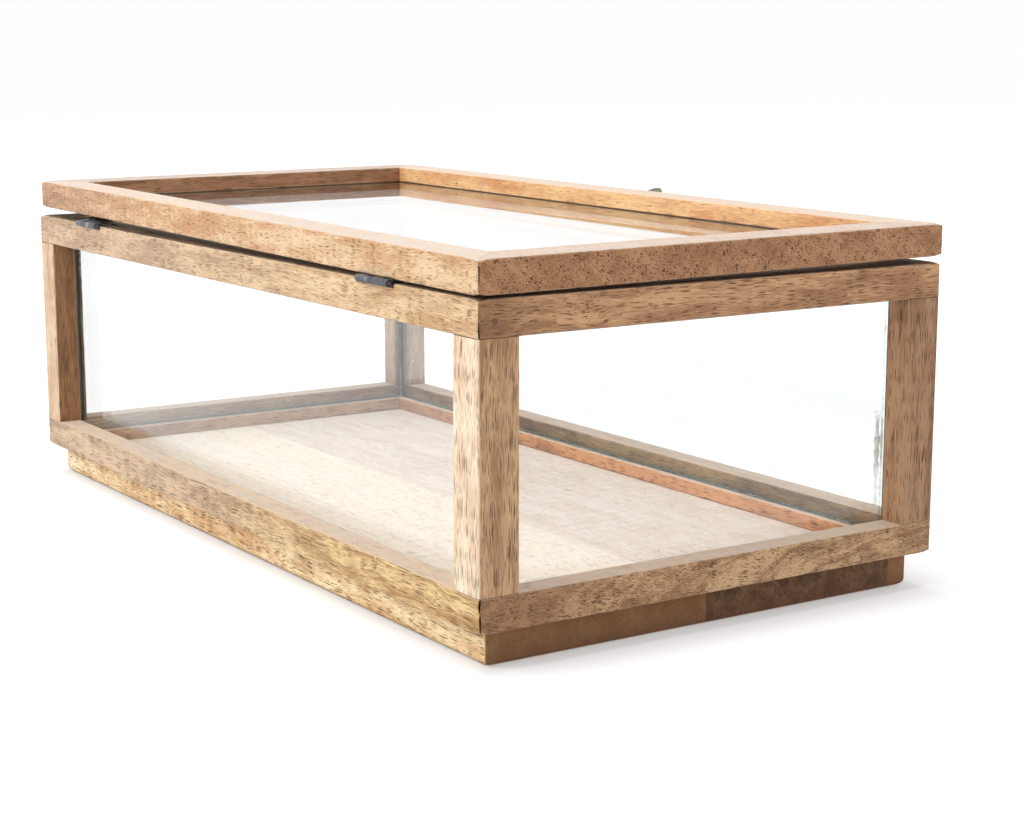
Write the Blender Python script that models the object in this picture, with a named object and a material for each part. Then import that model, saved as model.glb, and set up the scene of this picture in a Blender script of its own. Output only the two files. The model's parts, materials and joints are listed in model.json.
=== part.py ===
"""Tabletop display case: a wooden frame with glass sides and a hinged, glazed lid.

Units are metres and +Z is up. The origin is the centre of the base's underside. The case is
long in X. Its front, with the hasp, faces -Y, and the two hinges are on the back, at +Y.
"""
import math

import bmesh
import bpy
from mathutils import Matrix, Vector

# Driving dimensions of the case
CASE_LENGTH = 0.457
CASE_WIDTH = 0.239
STOCK_WIDTH = 0.0185            # width of the rails and of the square posts
BASE_THICKNESS = 0.016
BASE_INSET = 0.0075             # how far the base stands in from the frame's outer faces
BASE_EDGE_RADIUS = 0.0032       # of the bottom edge
BASE_CORNER_RADIUS = 0.0015     # of the upright corners
BACK_STAVE_WIDTH = 0.1095
EDGE_STAVE_WIDTH = 0.011
LOWER_RAIL_HEIGHT = 0.0145
POST_HEIGHT = 0.100
UPPER_RAIL_HEIGHT = 0.015

# Glazing of the case
GLASS_THICKNESS = 0.0025
REBATE_WIDTH = 0.006            # measured in from the rails' inner faces
REBATE_DEPTH = 0.0075           # measured down or up into the rails
BEAD_LEG = 0.0024               # leg of the silicone fillet behind each pane

# Lid
LID_GAP = 0.002
LID_THICKNESS = 0.014
LID_SIDE_RAIL_WIDTH = 0.019
LID_END_RAIL_WIDTH = 0.0215
LID_REBATE_WIDTH = 0.006
LID_REBATE_DEPTH = 0.0055
LID_BEAD_LEG = 0.0018

# Butt hinges
HINGE_LENGTH = 0.0254
HINGE_END_DISTANCE = 0.0755     # from each end of the case to the hinge's middle
HINGE_LEAF_WIDTH = 0.0135
HINGE_LEAF_THICKNESS = 0.0009
HINGE_PIN_RADIUS = 0.0006
HINGE_KNUCKLES = 4
HINGE_SCREW_SPACING = 0.014
HINGE_SCREW_DISTANCE = 0.0081   # from the pin's axis
HINGE_SCREW_LENGTH = 0.0085

# Hasp on the front, shown lifted off its staple
HASP_PLATE_WIDTH = 0.021
HASP_THICKNESS = 0.0008         # of the sheet that the plate and the strap are bent from
HASP_AXIS_HEIGHT = 0.0055       # above the lid's underside
HASP_PIN_RADIUS = 0.0005
HASP_BARREL_LENGTH = 0.0155
HASP_KNUCKLES = 3
HASP_STRAP_WIDTH = 0.014
HASP_STRAP_LENGTH = 0.0216      # from the pin to the round end
HASP_LIFT_DEG = 122.0           # how far the strap is turned up from hanging straight down
HASP_SLOT_WIDTH = 0.0032
STAPLE_WIRE_RADIUS = 0.0008
STAPLE_LEG_SPACING = 0.004
STAPLE_DISTANCE = 0.0120        # from the hasp's pin down to the staple's middle
STAPLE_STAND_OUT = 0.0055
STAPLE_LEG_DEPTH = 0.008

# Fasteners
SCREW_SHANK_RADIUS = 0.0009
SCREW_HEAD_RADIUS = 0.0018
SCREW_HEAD_HEIGHT = 0.0010
SCREW_POINT_START = 0.75        # share of a screw's length where its point begins
SCREW_POINT_RATIO = 0.35        # the point's end radius over the shank's
BASE_SCREW_SHANK_RADIUS = 0.0014
BASE_SCREW_HEAD_RADIUS = 0.0030
BASE_SCREW_HEAD_HEIGHT = 0.0022
BASE_SCREW_RECESS = 0.0008
BASE_SCREW_GRIP = 0.0055        # how far the screw reaches into the rail
BASE_SCREW_END_DISTANCE = 0.040
DOWEL_RADIUS = 0.0025
DOWEL_DEPTH = 0.007             # into each of the two pieces that it joins
NAIL_HEAD_RADIUS = 0.0012
NAIL_HEAD_HEIGHT = 0.0006
NAIL_HEAD_TOP_RATIO = 0.7       # the head's face over its widest radius
NAIL_POINT_RATIO = 0.4
NAIL_SHANK_RADIUS = 0.0005
NAIL_LENGTH = 0.007

# Clearances
JOINT_GAP = 0.0003              # between pieces that touch
FIT_GAP = 0.0002                # around fasteners and dowels in their holes
PIN_CLEARANCE = 0.0001          # around a hinge pin
KNUCKLE_GAP = 0.0003
GLASS_EDGE_GAP = 0.0008         # between a pane's edge and its rebate
LEAF_EDGE_GAP = 0.0004          # around a hinge leaf in its mortise

ROUND_SIDES = 20
SMALL_SIDES = 12
ROLL_STEPS = 20                 # along a leaf's rolled edge
ROLL_SLIT_DEG = 14              # left open between the roll and its plate
SMOOTH_ANGLE_DEG = 35

# Levels and half sizes that follow from the driving dimensions
HALF_LENGTH = CASE_LENGTH / 2
HALF_WIDTH = CASE_WIDTH / 2
LOWER_RAIL_TOP = BASE_THICKNESS + LOWER_RAIL_HEIGHT
UPPER_RAIL_BOTTOM = LOWER_RAIL_TOP + POST_HEIGHT
UPPER_RAIL_TOP = UPPER_RAIL_BOTTOM + UPPER_RAIL_HEIGHT
LID_BOTTOM = UPPER_RAIL_TOP + LID_GAP
LID_TOP = LID_BOTTOM + LID_THICKNESS
SHOULDER = STOCK_WIDTH - REBATE_WIDTH
GLASS_OUTER = SHOULDER + JOINT_GAP
GLASS_INNER = GLASS_OUTER + GLASS_THICKNESS
PANE_BOTTOM = LOWER_RAIL_TOP - REBATE_DEPTH + JOINT_GAP
PANE_TOP = UPPER_RAIL_BOTTOM + REBATE_DEPTH - JOINT_GAP
HINGE_BARREL_RADIUS = HINGE_PIN_RADIUS + PIN_CLEARANCE + HINGE_LEAF_THICKNESS
HINGE_AXIS_Z = LID_BOTTOM - JOINT_GAP - HINGE_BARREL_RADIUS
HINGE_AXIS_Y = HALF_WIDTH + JOINT_GAP + HINGE_BARREL_RADIUS
HASP_BARREL_RADIUS = HASP_PIN_RADIUS + PIN_CLEARANCE + HASP_THICKNESS
HASP_AXIS_Y = -HALF_WIDTH - JOINT_GAP - HASP_BARREL_RADIUS
HASP_AXIS_Z = LID_BOTTOM + HASP_AXIS_HEIGHT
STAPLE_Z = HASP_AXIS_Z - STAPLE_DISTANCE
CORNERS = {"back_left": (-1, 1), "back_right": (1, 1), "front_left": (-1, -1), "front_right": (1, -1)}


def clear_scene():
    for old in list(bpy.data.objects):
        bpy.data.objects.remove(old, do_unlink=True)


def make_material(name, colour, roughness, metallic=0.0, transmission=0.0):
    material = bpy.data.materials.new(name)
    material.use_nodes = True
    shader = material.node_tree.nodes["Principled BSDF"]
    shader.inputs["Base Color"].default_value = (*colour, 1.0)
    shader.inputs["Roughness"].default_value = roughness
    shader.inputs["Metallic"].default_value = metallic
    shader.inputs["Transmission Weight"].default_value = transmission
    material.diffuse_color = (*colour, 1.0)
    return material


def add_object(name, mesh_data, material, smooth=False):
    """Turn a bmesh into a named object with outward faces and one material."""
    bmesh.ops.recalc_face_normals(mesh_data, faces=mesh_data.faces)
    mesh = bpy.data.meshes.new(name)
    mesh_data.to_mesh(mesh)
    mesh_data.free()
    mesh.materials.append(material)
    if smooth:
        mesh.shade_smooth()
        mesh.set_sharp_from_angle(angle=math.radians(SMOOTH_ANGLE_DEG))
    made = bpy.data.objects.new(name, mesh)
    bpy.context.collection.objects.link(made)
    return made


def add_loft(mesh_data, loops):
    """Skin a list of equal closed loops and cap both ends."""
    rows = [[mesh_data.verts.new(point) for point in loop] for loop in loops]
    count = len(rows[0])
    for lower, upper in zip(rows, rows[1:]):
        for i in range(count):
            j = (i + 1) % count
            mesh_data.faces.new((lower[i], lower[j], upper[j], upper[i]))
    mesh_data.faces.new(list(reversed(rows[0])))
    mesh_data.faces.new(rows[-1])


def add_box(mesh_data, low, high):
    outline = [(low[0], low[1]), (high[0], low[1]), (high[0], high[1]), (low[0], high[1])]
    add_loft(mesh_data, [[(x, y, z) for x, y in outline] for z in (low[2], high[2])])


def add_turned(mesh_data, profile, start, direction, sides=SMALL_SIDES):
    """Turn a profile of (distance along, radius) pairs about a line from start."""
    turn = Vector((0, 0, 1)).rotation_difference(Vector(direction)).to_matrix()
    loops = []
    for along, radius in profile:
        loop = []
        for i in range(sides):
            angle = 2 * math.pi * (i + 0.5) / sides
            local = Vector((radius * math.cos(angle), radius * math.sin(angle), along))
            loop.append(Vector(start) + turn @ local)
        loops.append(loop)
    add_loft(mesh_data, loops)


def box_object(name, low, high, material):
    mesh_data = bmesh.new()
    add_box(mesh_data, low, high)
    return add_object(name, mesh_data, material)


def turned_pieces(names, profile, places, material, sides=SMALL_SIDES):
    """Identical turned pieces, one object each; places holds (start, direction) pairs."""
    for name, (start, direction) in zip(names, places, strict=True):
        mesh_data = bmesh.new()
        add_turned(mesh_data, profile, start, direction, sides)
        add_object(name, mesh_data, material, smooth=True)


def hole_cutter(name, profile, places, sides=SMALL_SIDES):
    """One cutter for the holes of a set of turned pieces."""
    mesh_data = bmesh.new()
    for start, direction in places:
        add_turned(mesh_data, profile, start, direction, sides)
    return add_object(name, mesh_data, None)


def combine(target, operation, helper):
    """Cut, join or trim target with a hidden helper, which several pieces may share."""
    helper.hide_render = True
    helper.display_type = "WIRE"
    modifier = target.modifiers.new(operation.lower() + "_" + helper.name, "BOOLEAN")
    modifier.operation = operation
    modifier.solver = "EXACT"
    modifier.object = helper


def cut(target, cutter):
    combine(target, "DIFFERENCE", cutter)


def grow(profile, gap):
    """A hole's profile: the piece's own, wider by gap and longer by gap at both ends."""
    grown = [(along, radius + gap) for along, radius in profile]
    first_along, first_radius = grown[0]
    last_along, last_radius = grown[-1]
    grown[0] = (first_along - gap, first_radius)
    grown[-1] = (last_along + gap, last_radius)
    return grown


def mitred_rail(name, side, outer, outline, own_width, other_width, material):
    """A rail of a mitred frame.

    outline holds (depth, z) pairs, with depth measured in from the frame's outer face.
    outer is the frame's outer half length and half width. The mitre runs from the outer
    corner to the inner corner, whatever the two widths are.
    """
    half_length, half_width = outer
    along_x = side in ("back", "front")
    sign = 1 if side in ("back", "right") else -1
    own_half = half_width if along_x else half_length
    other_half = half_length if along_x else half_width
    slope = other_width / own_width
    loops = []
    for end in (-1, 1):
        loop = []
        for depth, z in outline:
            along = end * (other_half - depth * slope - JOINT_GAP / 2)
            across = sign * (own_half - depth)
            loop.append((along, across, z) if along_x else (across, along, z))
        loops.append(loop)
    mesh_data = bmesh.new()
    add_loft(mesh_data, loops)
    return add_object(name, mesh_data, material)


def ring(name, half_length, half_width, section, material):
    """A closed rectangular ring. section holds (inset, z) pairs from the given half sizes."""
    mesh_data = bmesh.new()
    corners = [(-1, -1), (1, -1), (1, 1), (-1, 1)]
    loops = []
    for sx, sy in corners:
        loop = []
        for inset, z in section:
            point = (sx * (half_length - inset), sy * (half_width - inset), z)
            loop.append(mesh_data.verts.new(point))
        loops.append(loop)
    count = len(section)
    for k in range(4):
        here = loops[k]
        there = loops[(k + 1) % 4]
        for i in range(count):
            j = (i + 1) % count
            mesh_data.faces.new((here[i], here[j], there[j], there[i]))
    return add_object(name, mesh_data, material)


# ------------------------------------------------------------------ base
def build_base(wood):
    """Three glued staves with a rounded bottom edge all round."""
    half_x = HALF_LENGTH - BASE_INSET
    half_y = HALF_WIDTH - BASE_INSET
    joints = [half_y, half_y - BACK_STAVE_WIDTH, -half_y + EDGE_STAVE_WIDTH, -half_y]
    names = ["base_stave_back", "base_stave_middle", "base_stave_front"]
    blank = bmesh.new()
    steps = 4
    loops = []
    for i in range(steps + 1):
        angle = math.pi / 2 * i / steps
        inset = BASE_EDGE_RADIUS * (1 - math.sin(angle))
        z = BASE_EDGE_RADIUS * (1 - math.cos(angle))
        loops.append((inset, z))
    loops.append((0.0, BASE_THICKNESS))
    add_loft(blank, [rounded_plan(half_x - inset, half_y - inset, z) for inset, z in loops])
    base = add_object("base_blank", blank, wood)
    margin = CASE_WIDTH
    staves = []
    for index, name in enumerate(names):
        mesh_data = bmesh.new()
        high_y = joints[index] + (margin if index == 0 else -JOINT_GAP / 2)
        low_y = joints[index + 1] - (margin if index == 2 else -JOINT_GAP / 2)
        add_box(mesh_data, (-CASE_LENGTH, low_y, -margin), (CASE_LENGTH, high_y, margin))
        stave = add_object(name, mesh_data, wood)
        combine(stave, "INTERSECT", base)
        staves.append(stave)
    return staves


def rounded_plan(half_x, half_y, z, steps=2):
    """A rectangle's outline at height z, with slightly rounded corners."""
    radius = BASE_CORNER_RADIUS
    points = []
    for quarter, (sx, sy) in enumerate([(1, 1), (-1, 1), (-1, -1), (1, -1)]):
        for i in range(steps + 1):
            angle = math.pi / 2 * (quarter + i / steps)
            x = sx * (half_x - radius) + radius * math.cos(angle)
            y = sy * (half_y - radius) + radius * math.sin(angle)
            points.append((x, y, z))
    return points


# ------------------------------------------------------------------ case frame
def build_frames(wood):
    """The two mitred frames, each with a rebate for the panes on its inner edge."""
    outer = (HALF_LENGTH, HALF_WIDTH)
    floor = LOWER_RAIL_TOP - REBATE_DEPTH
    low = BASE_THICKNESS + JOINT_GAP
    lower_outline = [
        (0, low), (STOCK_WIDTH, low), (STOCK_WIDTH, floor),
        (SHOULDER, floor), (SHOULDER, LOWER_RAIL_TOP), (0, LOWER_RAIL_TOP),
    ]
    ceiling = UPPER_RAIL_BOTTOM + REBATE_DEPTH
    upper_outline = [
        (0, UPPER_RAIL_BOTTOM), (SHOULDER, UPPER_RAIL_BOTTOM), (SHOULDER, ceiling),
        (STOCK_WIDTH, ceiling), (STOCK_WIDTH, UPPER_RAIL_TOP), (0, UPPER_RAIL_TOP),
    ]
    lower = {}
    upper = {}
    for side in ("back", "front", "left", "right"):
        widths = (STOCK_WIDTH, STOCK_WIDTH)
        lower[side] = mitred_rail("lower_rail_" + side, side, outer, lower_outline, *widths, wood)
        upper[side] = mitred_rail("upper_rail_" + side, side, outer, upper_outline, *widths, wood)
    return lower, upper


def build_posts(wood):
    """Square posts, rebated on the inner corner where two panes meet."""
    posts = {}
    for name, (sx, sy) in CORNERS.items():
        plan = [
            (0, 0), (STOCK_WIDTH, 0), (STOCK_WIDTH, SHOULDER),
            (SHOULDER, SHOULDER), (SHOULDER, STOCK_WIDTH), (0, STOCK_WIDTH),
        ]
        loops = []
        for z in (LOWER_RAIL_TOP + JOINT_GAP, UPPER_RAIL_BOTTOM - JOINT_GAP):
            loop = [(sx * (HALF_LENGTH - a), sy * (HALF_WIDTH - b), z) for a, b in plan]
            loops.append(loop)
        mesh_data = bmesh.new()
        add_loft(mesh_data, loops)
        posts[name] = add_object("post_" + name, mesh_data, wood)
    return posts


def build_panes(glass):
    """Long panes run from post to post; the end panes stand between them."""
    long_half = HALF_LENGTH - SHOULDER - GLASS_EDGE_GAP
    end_half = HALF_WIDTH - GLASS_INNER - JOINT_GAP
    for name, sign in (("pane_back", 1), ("pane_front", -1)):
        near = sign * (HALF_WIDTH - GLASS_INNER)
        far = sign * (HALF_WIDTH - GLASS_OUTER)
        low = (-long_half, min(near, far), PANE_BOTTOM)
        high = (long_half, max(near, far), PANE_TOP)
        box_object(name, low, high, glass)
    for name, sign in (("pane_left", -1), ("pane_right", 1)):
        near = sign * (HALF_LENGTH - GLASS_INNER)
        far = sign * (HALF_LENGTH - GLASS_OUTER)
        low = (min(near, far), -end_half, PANE_BOTTOM)
        high = (max(near, far), end_half, PANE_TOP)
        box_object(name, low, high, glass)


def build_case_silicone(silicone):
    """One continuous fillet: a ring in each rebate and a run up each corner of the panes."""
    inset = GLASS_INNER + JOINT_GAP
    half_x = HALF_LENGTH - inset
    half_y = HALF_WIDTH - inset
    low_section = [(0, PANE_BOTTOM), (0, PANE_BOTTOM + BEAD_LEG), (BEAD_LEG, PANE_BOTTOM)]
    high_section = [(0, PANE_TOP), (BEAD_LEG, PANE_TOP), (0, PANE_TOP - BEAD_LEG)]
    fillet = ring("case_silicone", half_x, half_y, low_section, silicone)
    combine(fillet, "UNION", ring("helper_upper_fillet", half_x, half_y, high_section, silicone))
    sink = BEAD_LEG / 12        # keeps the runs' faces just inside the rings' faces
    for name, (sx, sy) in CORNERS.items():
        plan = [(sink, sink), (BEAD_LEG, sink), (sink, BEAD_LEG)]
        loops = []
        for z in (PANE_BOTTOM + sink, PANE_TOP - sink):
            loops.append([(sx * (half_x - a), sy * (half_y - b), z) for a, b in plan])
        mesh_data = bmesh.new()
        add_loft(mesh_data, loops)
        combine(fillet, "UNION", add_object("helper_fillet_" + name, mesh_data, silicone))


# ------------------------------------------------------------------ lid
def build_lid(wood, glass, silicone):
    """A mitred frame whose glass is held up into a rebate on the underside."""
    outer = (HALF_LENGTH, HALF_WIDTH)
    ceiling = LID_BOTTOM + LID_REBATE_DEPTH
    rails = {}
    for side in ("back", "front", "left", "right"):
        is_side = side in ("back", "front")
        own = LID_SIDE_RAIL_WIDTH if is_side else LID_END_RAIL_WIDTH
        other = LID_END_RAIL_WIDTH if is_side else LID_SIDE_RAIL_WIDTH
        # the rebate's step keeps the mitre's slope, so the two rails' steps meet on it
        step = LID_REBATE_WIDTH * own / LID_SIDE_RAIL_WIDTH
        lip = own - step
        outline = [
            (0, LID_BOTTOM), (lip, LID_BOTTOM), (lip, ceiling),
            (own, ceiling), (own, LID_TOP), (0, LID_TOP),
        ]
        rails[side] = mitred_rail("lid_rail_" + side, side, outer, outline, own, other, wood)
    step_x = LID_REBATE_WIDTH * LID_END_RAIL_WIDTH / LID_SIDE_RAIL_WIDTH
    open_x = HALF_LENGTH - LID_END_RAIL_WIDTH + step_x
    open_y = HALF_WIDTH - LID_SIDE_RAIL_WIDTH + LID_REBATE_WIDTH
    glass_top = ceiling - JOINT_GAP
    glass_bottom = glass_top - GLASS_THICKNESS
    half_x = open_x - GLASS_EDGE_GAP
    half_y = open_y - GLASS_EDGE_GAP
    box_object("lid_glass", (-half_x, -half_y, glass_bottom), (half_x, half_y, glass_top), glass)
    bead_top = glass_bottom - JOINT_GAP
    bead_low = bead_top - LID_BEAD_LEG
    section = [(JOINT_GAP, bead_top), (JOINT_GAP, bead_low), (JOINT_GAP + LID_BEAD_LEG, bead_top)]
    ring("lid_silicone", open_x, open_y, section, silicone)
    return rails


# ------------------------------------------------------------------ hinges
def rolled_outline(axis, tangent_side, plate_dir, reach, bore, thickness):
    """The section of a leaf whose edge is rolled round a pin.

    axis is the pin's (y, z). The plate leaves the roll at its top (tangent_side 1) or
    bottom (-1) and runs for reach in plate_dir along y. The roll stops just short of
    meeting the plate, as bent sheet does.
    """
    radius = bore + thickness
    sweep = 2 * math.pi - math.acos(bore / radius) - math.radians(ROLL_SLIT_DEG)
    start = math.pi / 2 * tangent_side
    turn = tangent_side * plate_dir
    outside = []
    inside = []
    for i in range(ROLL_STEPS + 1):
        angle = start + turn * sweep * i / ROLL_STEPS
        outside.append((axis[0] + radius * math.cos(angle), axis[1] + radius * math.sin(angle)))
        inside.append((axis[0] + bore * math.cos(angle), axis[1] + bore * math.sin(angle)))
    far_y = axis[0] + plate_dir * reach
    outer_z = axis[1] + tangent_side * radius
    inner_z = outer_z - tangent_side * thickness
    points = [(far_y, inner_z), (far_y, outer_z)]
    points += outside
    points += list(reversed(inside))
    return points


def rolled_leaf(name, outline, x_low, x_high, material):
    mesh_data = bmesh.new()
    loops = [[(x, y, z) for y, z in outline] for x in (x_low, x_high)]
    add_loft(mesh_data, loops)
    return add_object(name, mesh_data, material)


def knuckle_spans(middle, length, count, which):
    """The x ranges of every second knuckle, which is 0 or 1."""
    pitch = length / count
    spans = []
    for i in range(count):
        if i % 2 == which:
            low = middle - length / 2 + i * pitch
            spans.append((low, low + pitch))
    return spans


def notch_cutter(name, spans, low_yz, high_yz):
    """Boxes that clear the other leaf's knuckles."""
    mesh_data = bmesh.new()
    for low_x, high_x in spans:
        low = (low_x - KNUCKLE_GAP / 2, low_yz[0], low_yz[1])
        high = (high_x + KNUCKLE_GAP / 2, high_yz[0], high_yz[1])
        add_box(mesh_data, low, high)
    return add_object(name, mesh_data, None)


def screw_profile(length, shank, head, head_height):
    """A countersunk screw, from the middle of its head's face to its point."""
    point = (length, shank * SCREW_POINT_RATIO)
    return [(0, head), (head_height, shank), (length * SCREW_POINT_START, shank), point]


def build_hinges(steel, screw_steel, upper_back, lid_back):
    bore = HINGE_PIN_RADIUS + PIN_CLEARANCE
    thickness = HINGE_LEAF_THICKNESS
    axis = (HINGE_AXIS_Y, HINGE_AXIS_Z)
    reach = HINGE_LEAF_WIDTH
    notch_y = HINGE_AXIS_Y - HINGE_BARREL_RADIUS - JOINT_GAP
    profile = screw_profile(HINGE_SCREW_LENGTH, SCREW_SHANK_RADIUS, SCREW_HEAD_RADIUS, SCREW_HEAD_HEIGHT)
    places = {"case": [], "lid": []}
    names = {"case": [], "lid": []}
    leaves = {"case": [], "lid": []}
    mortise = bmesh.new()
    case_leaf_low = HINGE_AXIS_Z - HINGE_BARREL_RADIUS
    lid_leaf_high = HINGE_AXIS_Z + HINGE_BARREL_RADIUS
    for label, sign in (("left", -1), ("right", 1)):
        middle = sign * (HALF_LENGTH - HINGE_END_DISTANCE)
        x_low = middle - HINGE_LENGTH / 2
        x_high = middle + HINGE_LENGTH / 2
        for part, which, tangent in (("case", 0, -1), ("lid", 1, 1)):
            outline = rolled_outline(axis, tangent, -1, reach, bore, thickness)
            name = "hinge_" + label + "_" + part + "_leaf"
            leaf = rolled_leaf(name, outline, x_low, x_high, steel)
            others = knuckle_spans(middle, HINGE_LENGTH, HINGE_KNUCKLES, 1 - which)
            margin = 2 * HINGE_BARREL_RADIUS
            low_yz = (notch_y, HINGE_AXIS_Z - margin)
            high_yz = (HINGE_AXIS_Y + margin, HINGE_AXIS_Z + margin)
            cutter_name = "cutter_knuckles_" + label + "_" + part
            cut(leaf, notch_cutter(cutter_name, others, low_yz, high_yz))
            leaves[part].append(leaf)
        pin = bmesh.new()
        add_turned(pin, [(0, HINGE_PIN_RADIUS), (HINGE_LENGTH, HINGE_PIN_RADIUS)],
                   (x_low, HINGE_AXIS_Y, HINGE_AXIS_Z), (1, 0, 0), ROUND_SIDES)
        add_object("hinge_" + label + "_pin", pin, steel, smooth=True)
        low = (x_low - LEAF_EDGE_GAP, HINGE_AXIS_Y - reach - LEAF_EDGE_GAP, case_leaf_low - JOINT_GAP)
        high = (x_high + LEAF_EDGE_GAP, HALF_WIDTH + STOCK_WIDTH, LID_BOTTOM)
        add_box(mortise, low, high)
        screw_y = HINGE_AXIS_Y - HINGE_SCREW_DISTANCE
        for end, side in (("left", -1), ("right", 1)):
            screw_x = middle + side * HINGE_SCREW_SPACING / 2
            places["case"].append(((screw_x, screw_y, case_leaf_low + thickness), (0, 0, -1)))
            places["lid"].append(((screw_x, screw_y, lid_leaf_high - thickness), (0, 0, 1)))
            for part in names:
                names[part].append("hinge_" + label + "_" + part + "_screw_" + end)
    cut(upper_back, add_object("cutter_mortise", mortise, None))
    hole = grow(profile, FIT_GAP)
    for part, rail in (("case", upper_back), ("lid", lid_back)):
        turned_pieces(names[part], profile, places[part], screw_steel)
        holes = hole_cutter("cutter_screws_" + part, hole, places[part])
        for target in leaves[part] + [rail]:
            cut(target, holes)


# ------------------------------------------------------------------ hasp
def build_hasp(brass, lid_front, upper_front):
    axis = (HASP_AXIS_Y, HASP_AXIS_Z)
    bore = HASP_PIN_RADIUS + PIN_CLEARANCE
    back_y = HASP_AXIS_Y + HASP_BARREL_RADIUS
    plate_reach = LID_THICKNESS - HASP_AXIS_HEIGHT - 2 * JOINT_GAP
    middle_spans = knuckle_spans(0, HASP_BARREL_LENGTH, HASP_KNUCKLES, 1)
    outer_spans = knuckle_spans(0, HASP_BARREL_LENGTH, HASP_KNUCKLES, 0)
    half_barrel = HASP_BARREL_LENGTH / 2

    # The plate on the lid: rolled along its lower edge, plate upwards
    flat = rolled_outline((0, 0), 1, 1, plate_reach, bore, HASP_THICKNESS)
    upright = [(HASP_AXIS_Y + z, HASP_AXIS_Z + y) for y, z in flat]
    plate = rolled_leaf("hasp_plate", upright, -HASP_PLATE_WIDTH / 2, HASP_PLATE_WIDTH / 2, brass)
    margin = 2 * HASP_BARREL_RADIUS
    clear = HASP_BARREL_RADIUS + JOINT_GAP
    notches = bmesh.new()
    for low_x, high_x in middle_spans:
        low = (low_x - KNUCKLE_GAP / 2, HASP_AXIS_Y - margin, HASP_AXIS_Z - margin)
        high = (high_x + KNUCKLE_GAP / 2, HASP_AXIS_Y + margin, HASP_AXIS_Z + clear)
        add_box(notches, low, high)
    for sign in (-1, 1):
        inner = sign * (half_barrel + KNUCKLE_GAP / 2)
        outer = sign * HASP_PLATE_WIDTH
        low = (min(inner, outer), HASP_AXIS_Y - margin, HASP_AXIS_Z - margin)
        high = (max(inner, outer), HASP_AXIS_Y + margin, HASP_AXIS_Z + clear)
        add_box(notches, low, high)
    cut(plate, add_object("cutter_hasp_plate", notches, None))

    # The strap, made hanging down and then turned up about the pin
    straight = HASP_STRAP_LENGTH - HASP_STRAP_WIDTH / 2
    flat = rolled_outline((0, 0), 1, 1, straight, bore, HASP_THICKNESS)
    hanging = [(z, -y) for y, z in flat]
    half = HASP_STRAP_WIDTH / 2
    strap = rolled_leaf("hasp_strap", hanging, -half, half, brass)
    tip = bmesh.new()
    face_y = HASP_BARREL_RADIUS
    arc = []
    arc_steps = 12
    for i in range(arc_steps + 1):
        angle = math.pi * i / arc_steps
        arc.append((half * math.cos(angle), -straight - half * math.sin(angle)))
    overlap = 0.0005
    arc += [(-half, -straight + overlap), (half, -straight + overlap)]
    add_loft(tip, [[(x, y, z) for x, z in arc] for y in (face_y - HASP_THICKNESS, face_y)])
    tip_object = add_object("helper_hasp_tip", tip, None)
    combine(strap, "UNION", tip_object)
    cuts = bmesh.new()
    for low_x, high_x in outer_spans:
        wide_low = low_x - (margin if low_x < 0 else KNUCKLE_GAP / 2)
        wide_high = high_x + (margin if low_x > 0 else KNUCKLE_GAP / 2)
        add_box(cuts, (wide_low, -margin, -clear), (wide_high, margin, margin))
    slot_half = HASP_SLOT_WIDTH / 2
    slot_reach = STAPLE_LEG_SPACING / 2 + STAPLE_WIRE_RADIUS + 2 * JOINT_GAP
    slot_low = -STAPLE_DISTANCE - slot_reach - JOINT_GAP
    slot_high = -STAPLE_DISTANCE + slot_reach
    add_box(cuts, (-slot_half, -margin, slot_low), (slot_half, margin, slot_high))
    strap_cuts = add_object("cutter_hasp_strap", cuts, None)
    cut(strap, strap_cuts)
    lift = Matrix.Rotation(math.radians(-HASP_LIFT_DEG), 4, "X")
    place = Matrix.Translation((0, axis[0], axis[1])) @ lift
    for piece in (strap, tip_object, strap_cuts):
        piece.matrix_world = place

    pin = bmesh.new()
    add_turned(pin, [(0, HASP_PIN_RADIUS), (2 * half_barrel, HASP_PIN_RADIUS)],
               (-half_barrel, *axis), (1, 0, 0), ROUND_SIDES)
    add_object("hasp_pin", pin, brass, smooth=True)

    # Nails through the plate into the lid
    nail = [(-NAIL_HEAD_HEIGHT, NAIL_HEAD_RADIUS * NAIL_HEAD_TOP_RATIO), (0, NAIL_HEAD_RADIUS)]
    nail += [(0, NAIL_SHANK_RADIUS), (NAIL_LENGTH, NAIL_SHANK_RADIUS * NAIL_POINT_RATIO)]
    nail_z = HASP_AXIS_Z + clear + (plate_reach - clear) / 2
    nail_x = HASP_PLATE_WIDTH / 2 - 2 * NAIL_HEAD_RADIUS
    head_y = back_y - HASP_THICKNESS - FIT_GAP
    places = [((sign * nail_x, head_y, nail_z), (0, 1, 0)) for sign in (-1, 1)]
    turned_pieces(["hasp_nail_left", "hasp_nail_right"], nail, places, brass)
    hole = [(-NAIL_HEAD_HEIGHT / 2, NAIL_SHANK_RADIUS + FIT_GAP)]
    hole += [(NAIL_LENGTH + FIT_GAP, NAIL_SHANK_RADIUS + FIT_GAP)]
    holes = hole_cutter("cutter_hasp_nails", hole, places)
    cut(plate, holes)
    cut(lid_front, holes)

    # The staple is a bent wire driven into the upper front rail
    build_staple(brass, upper_front)


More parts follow.
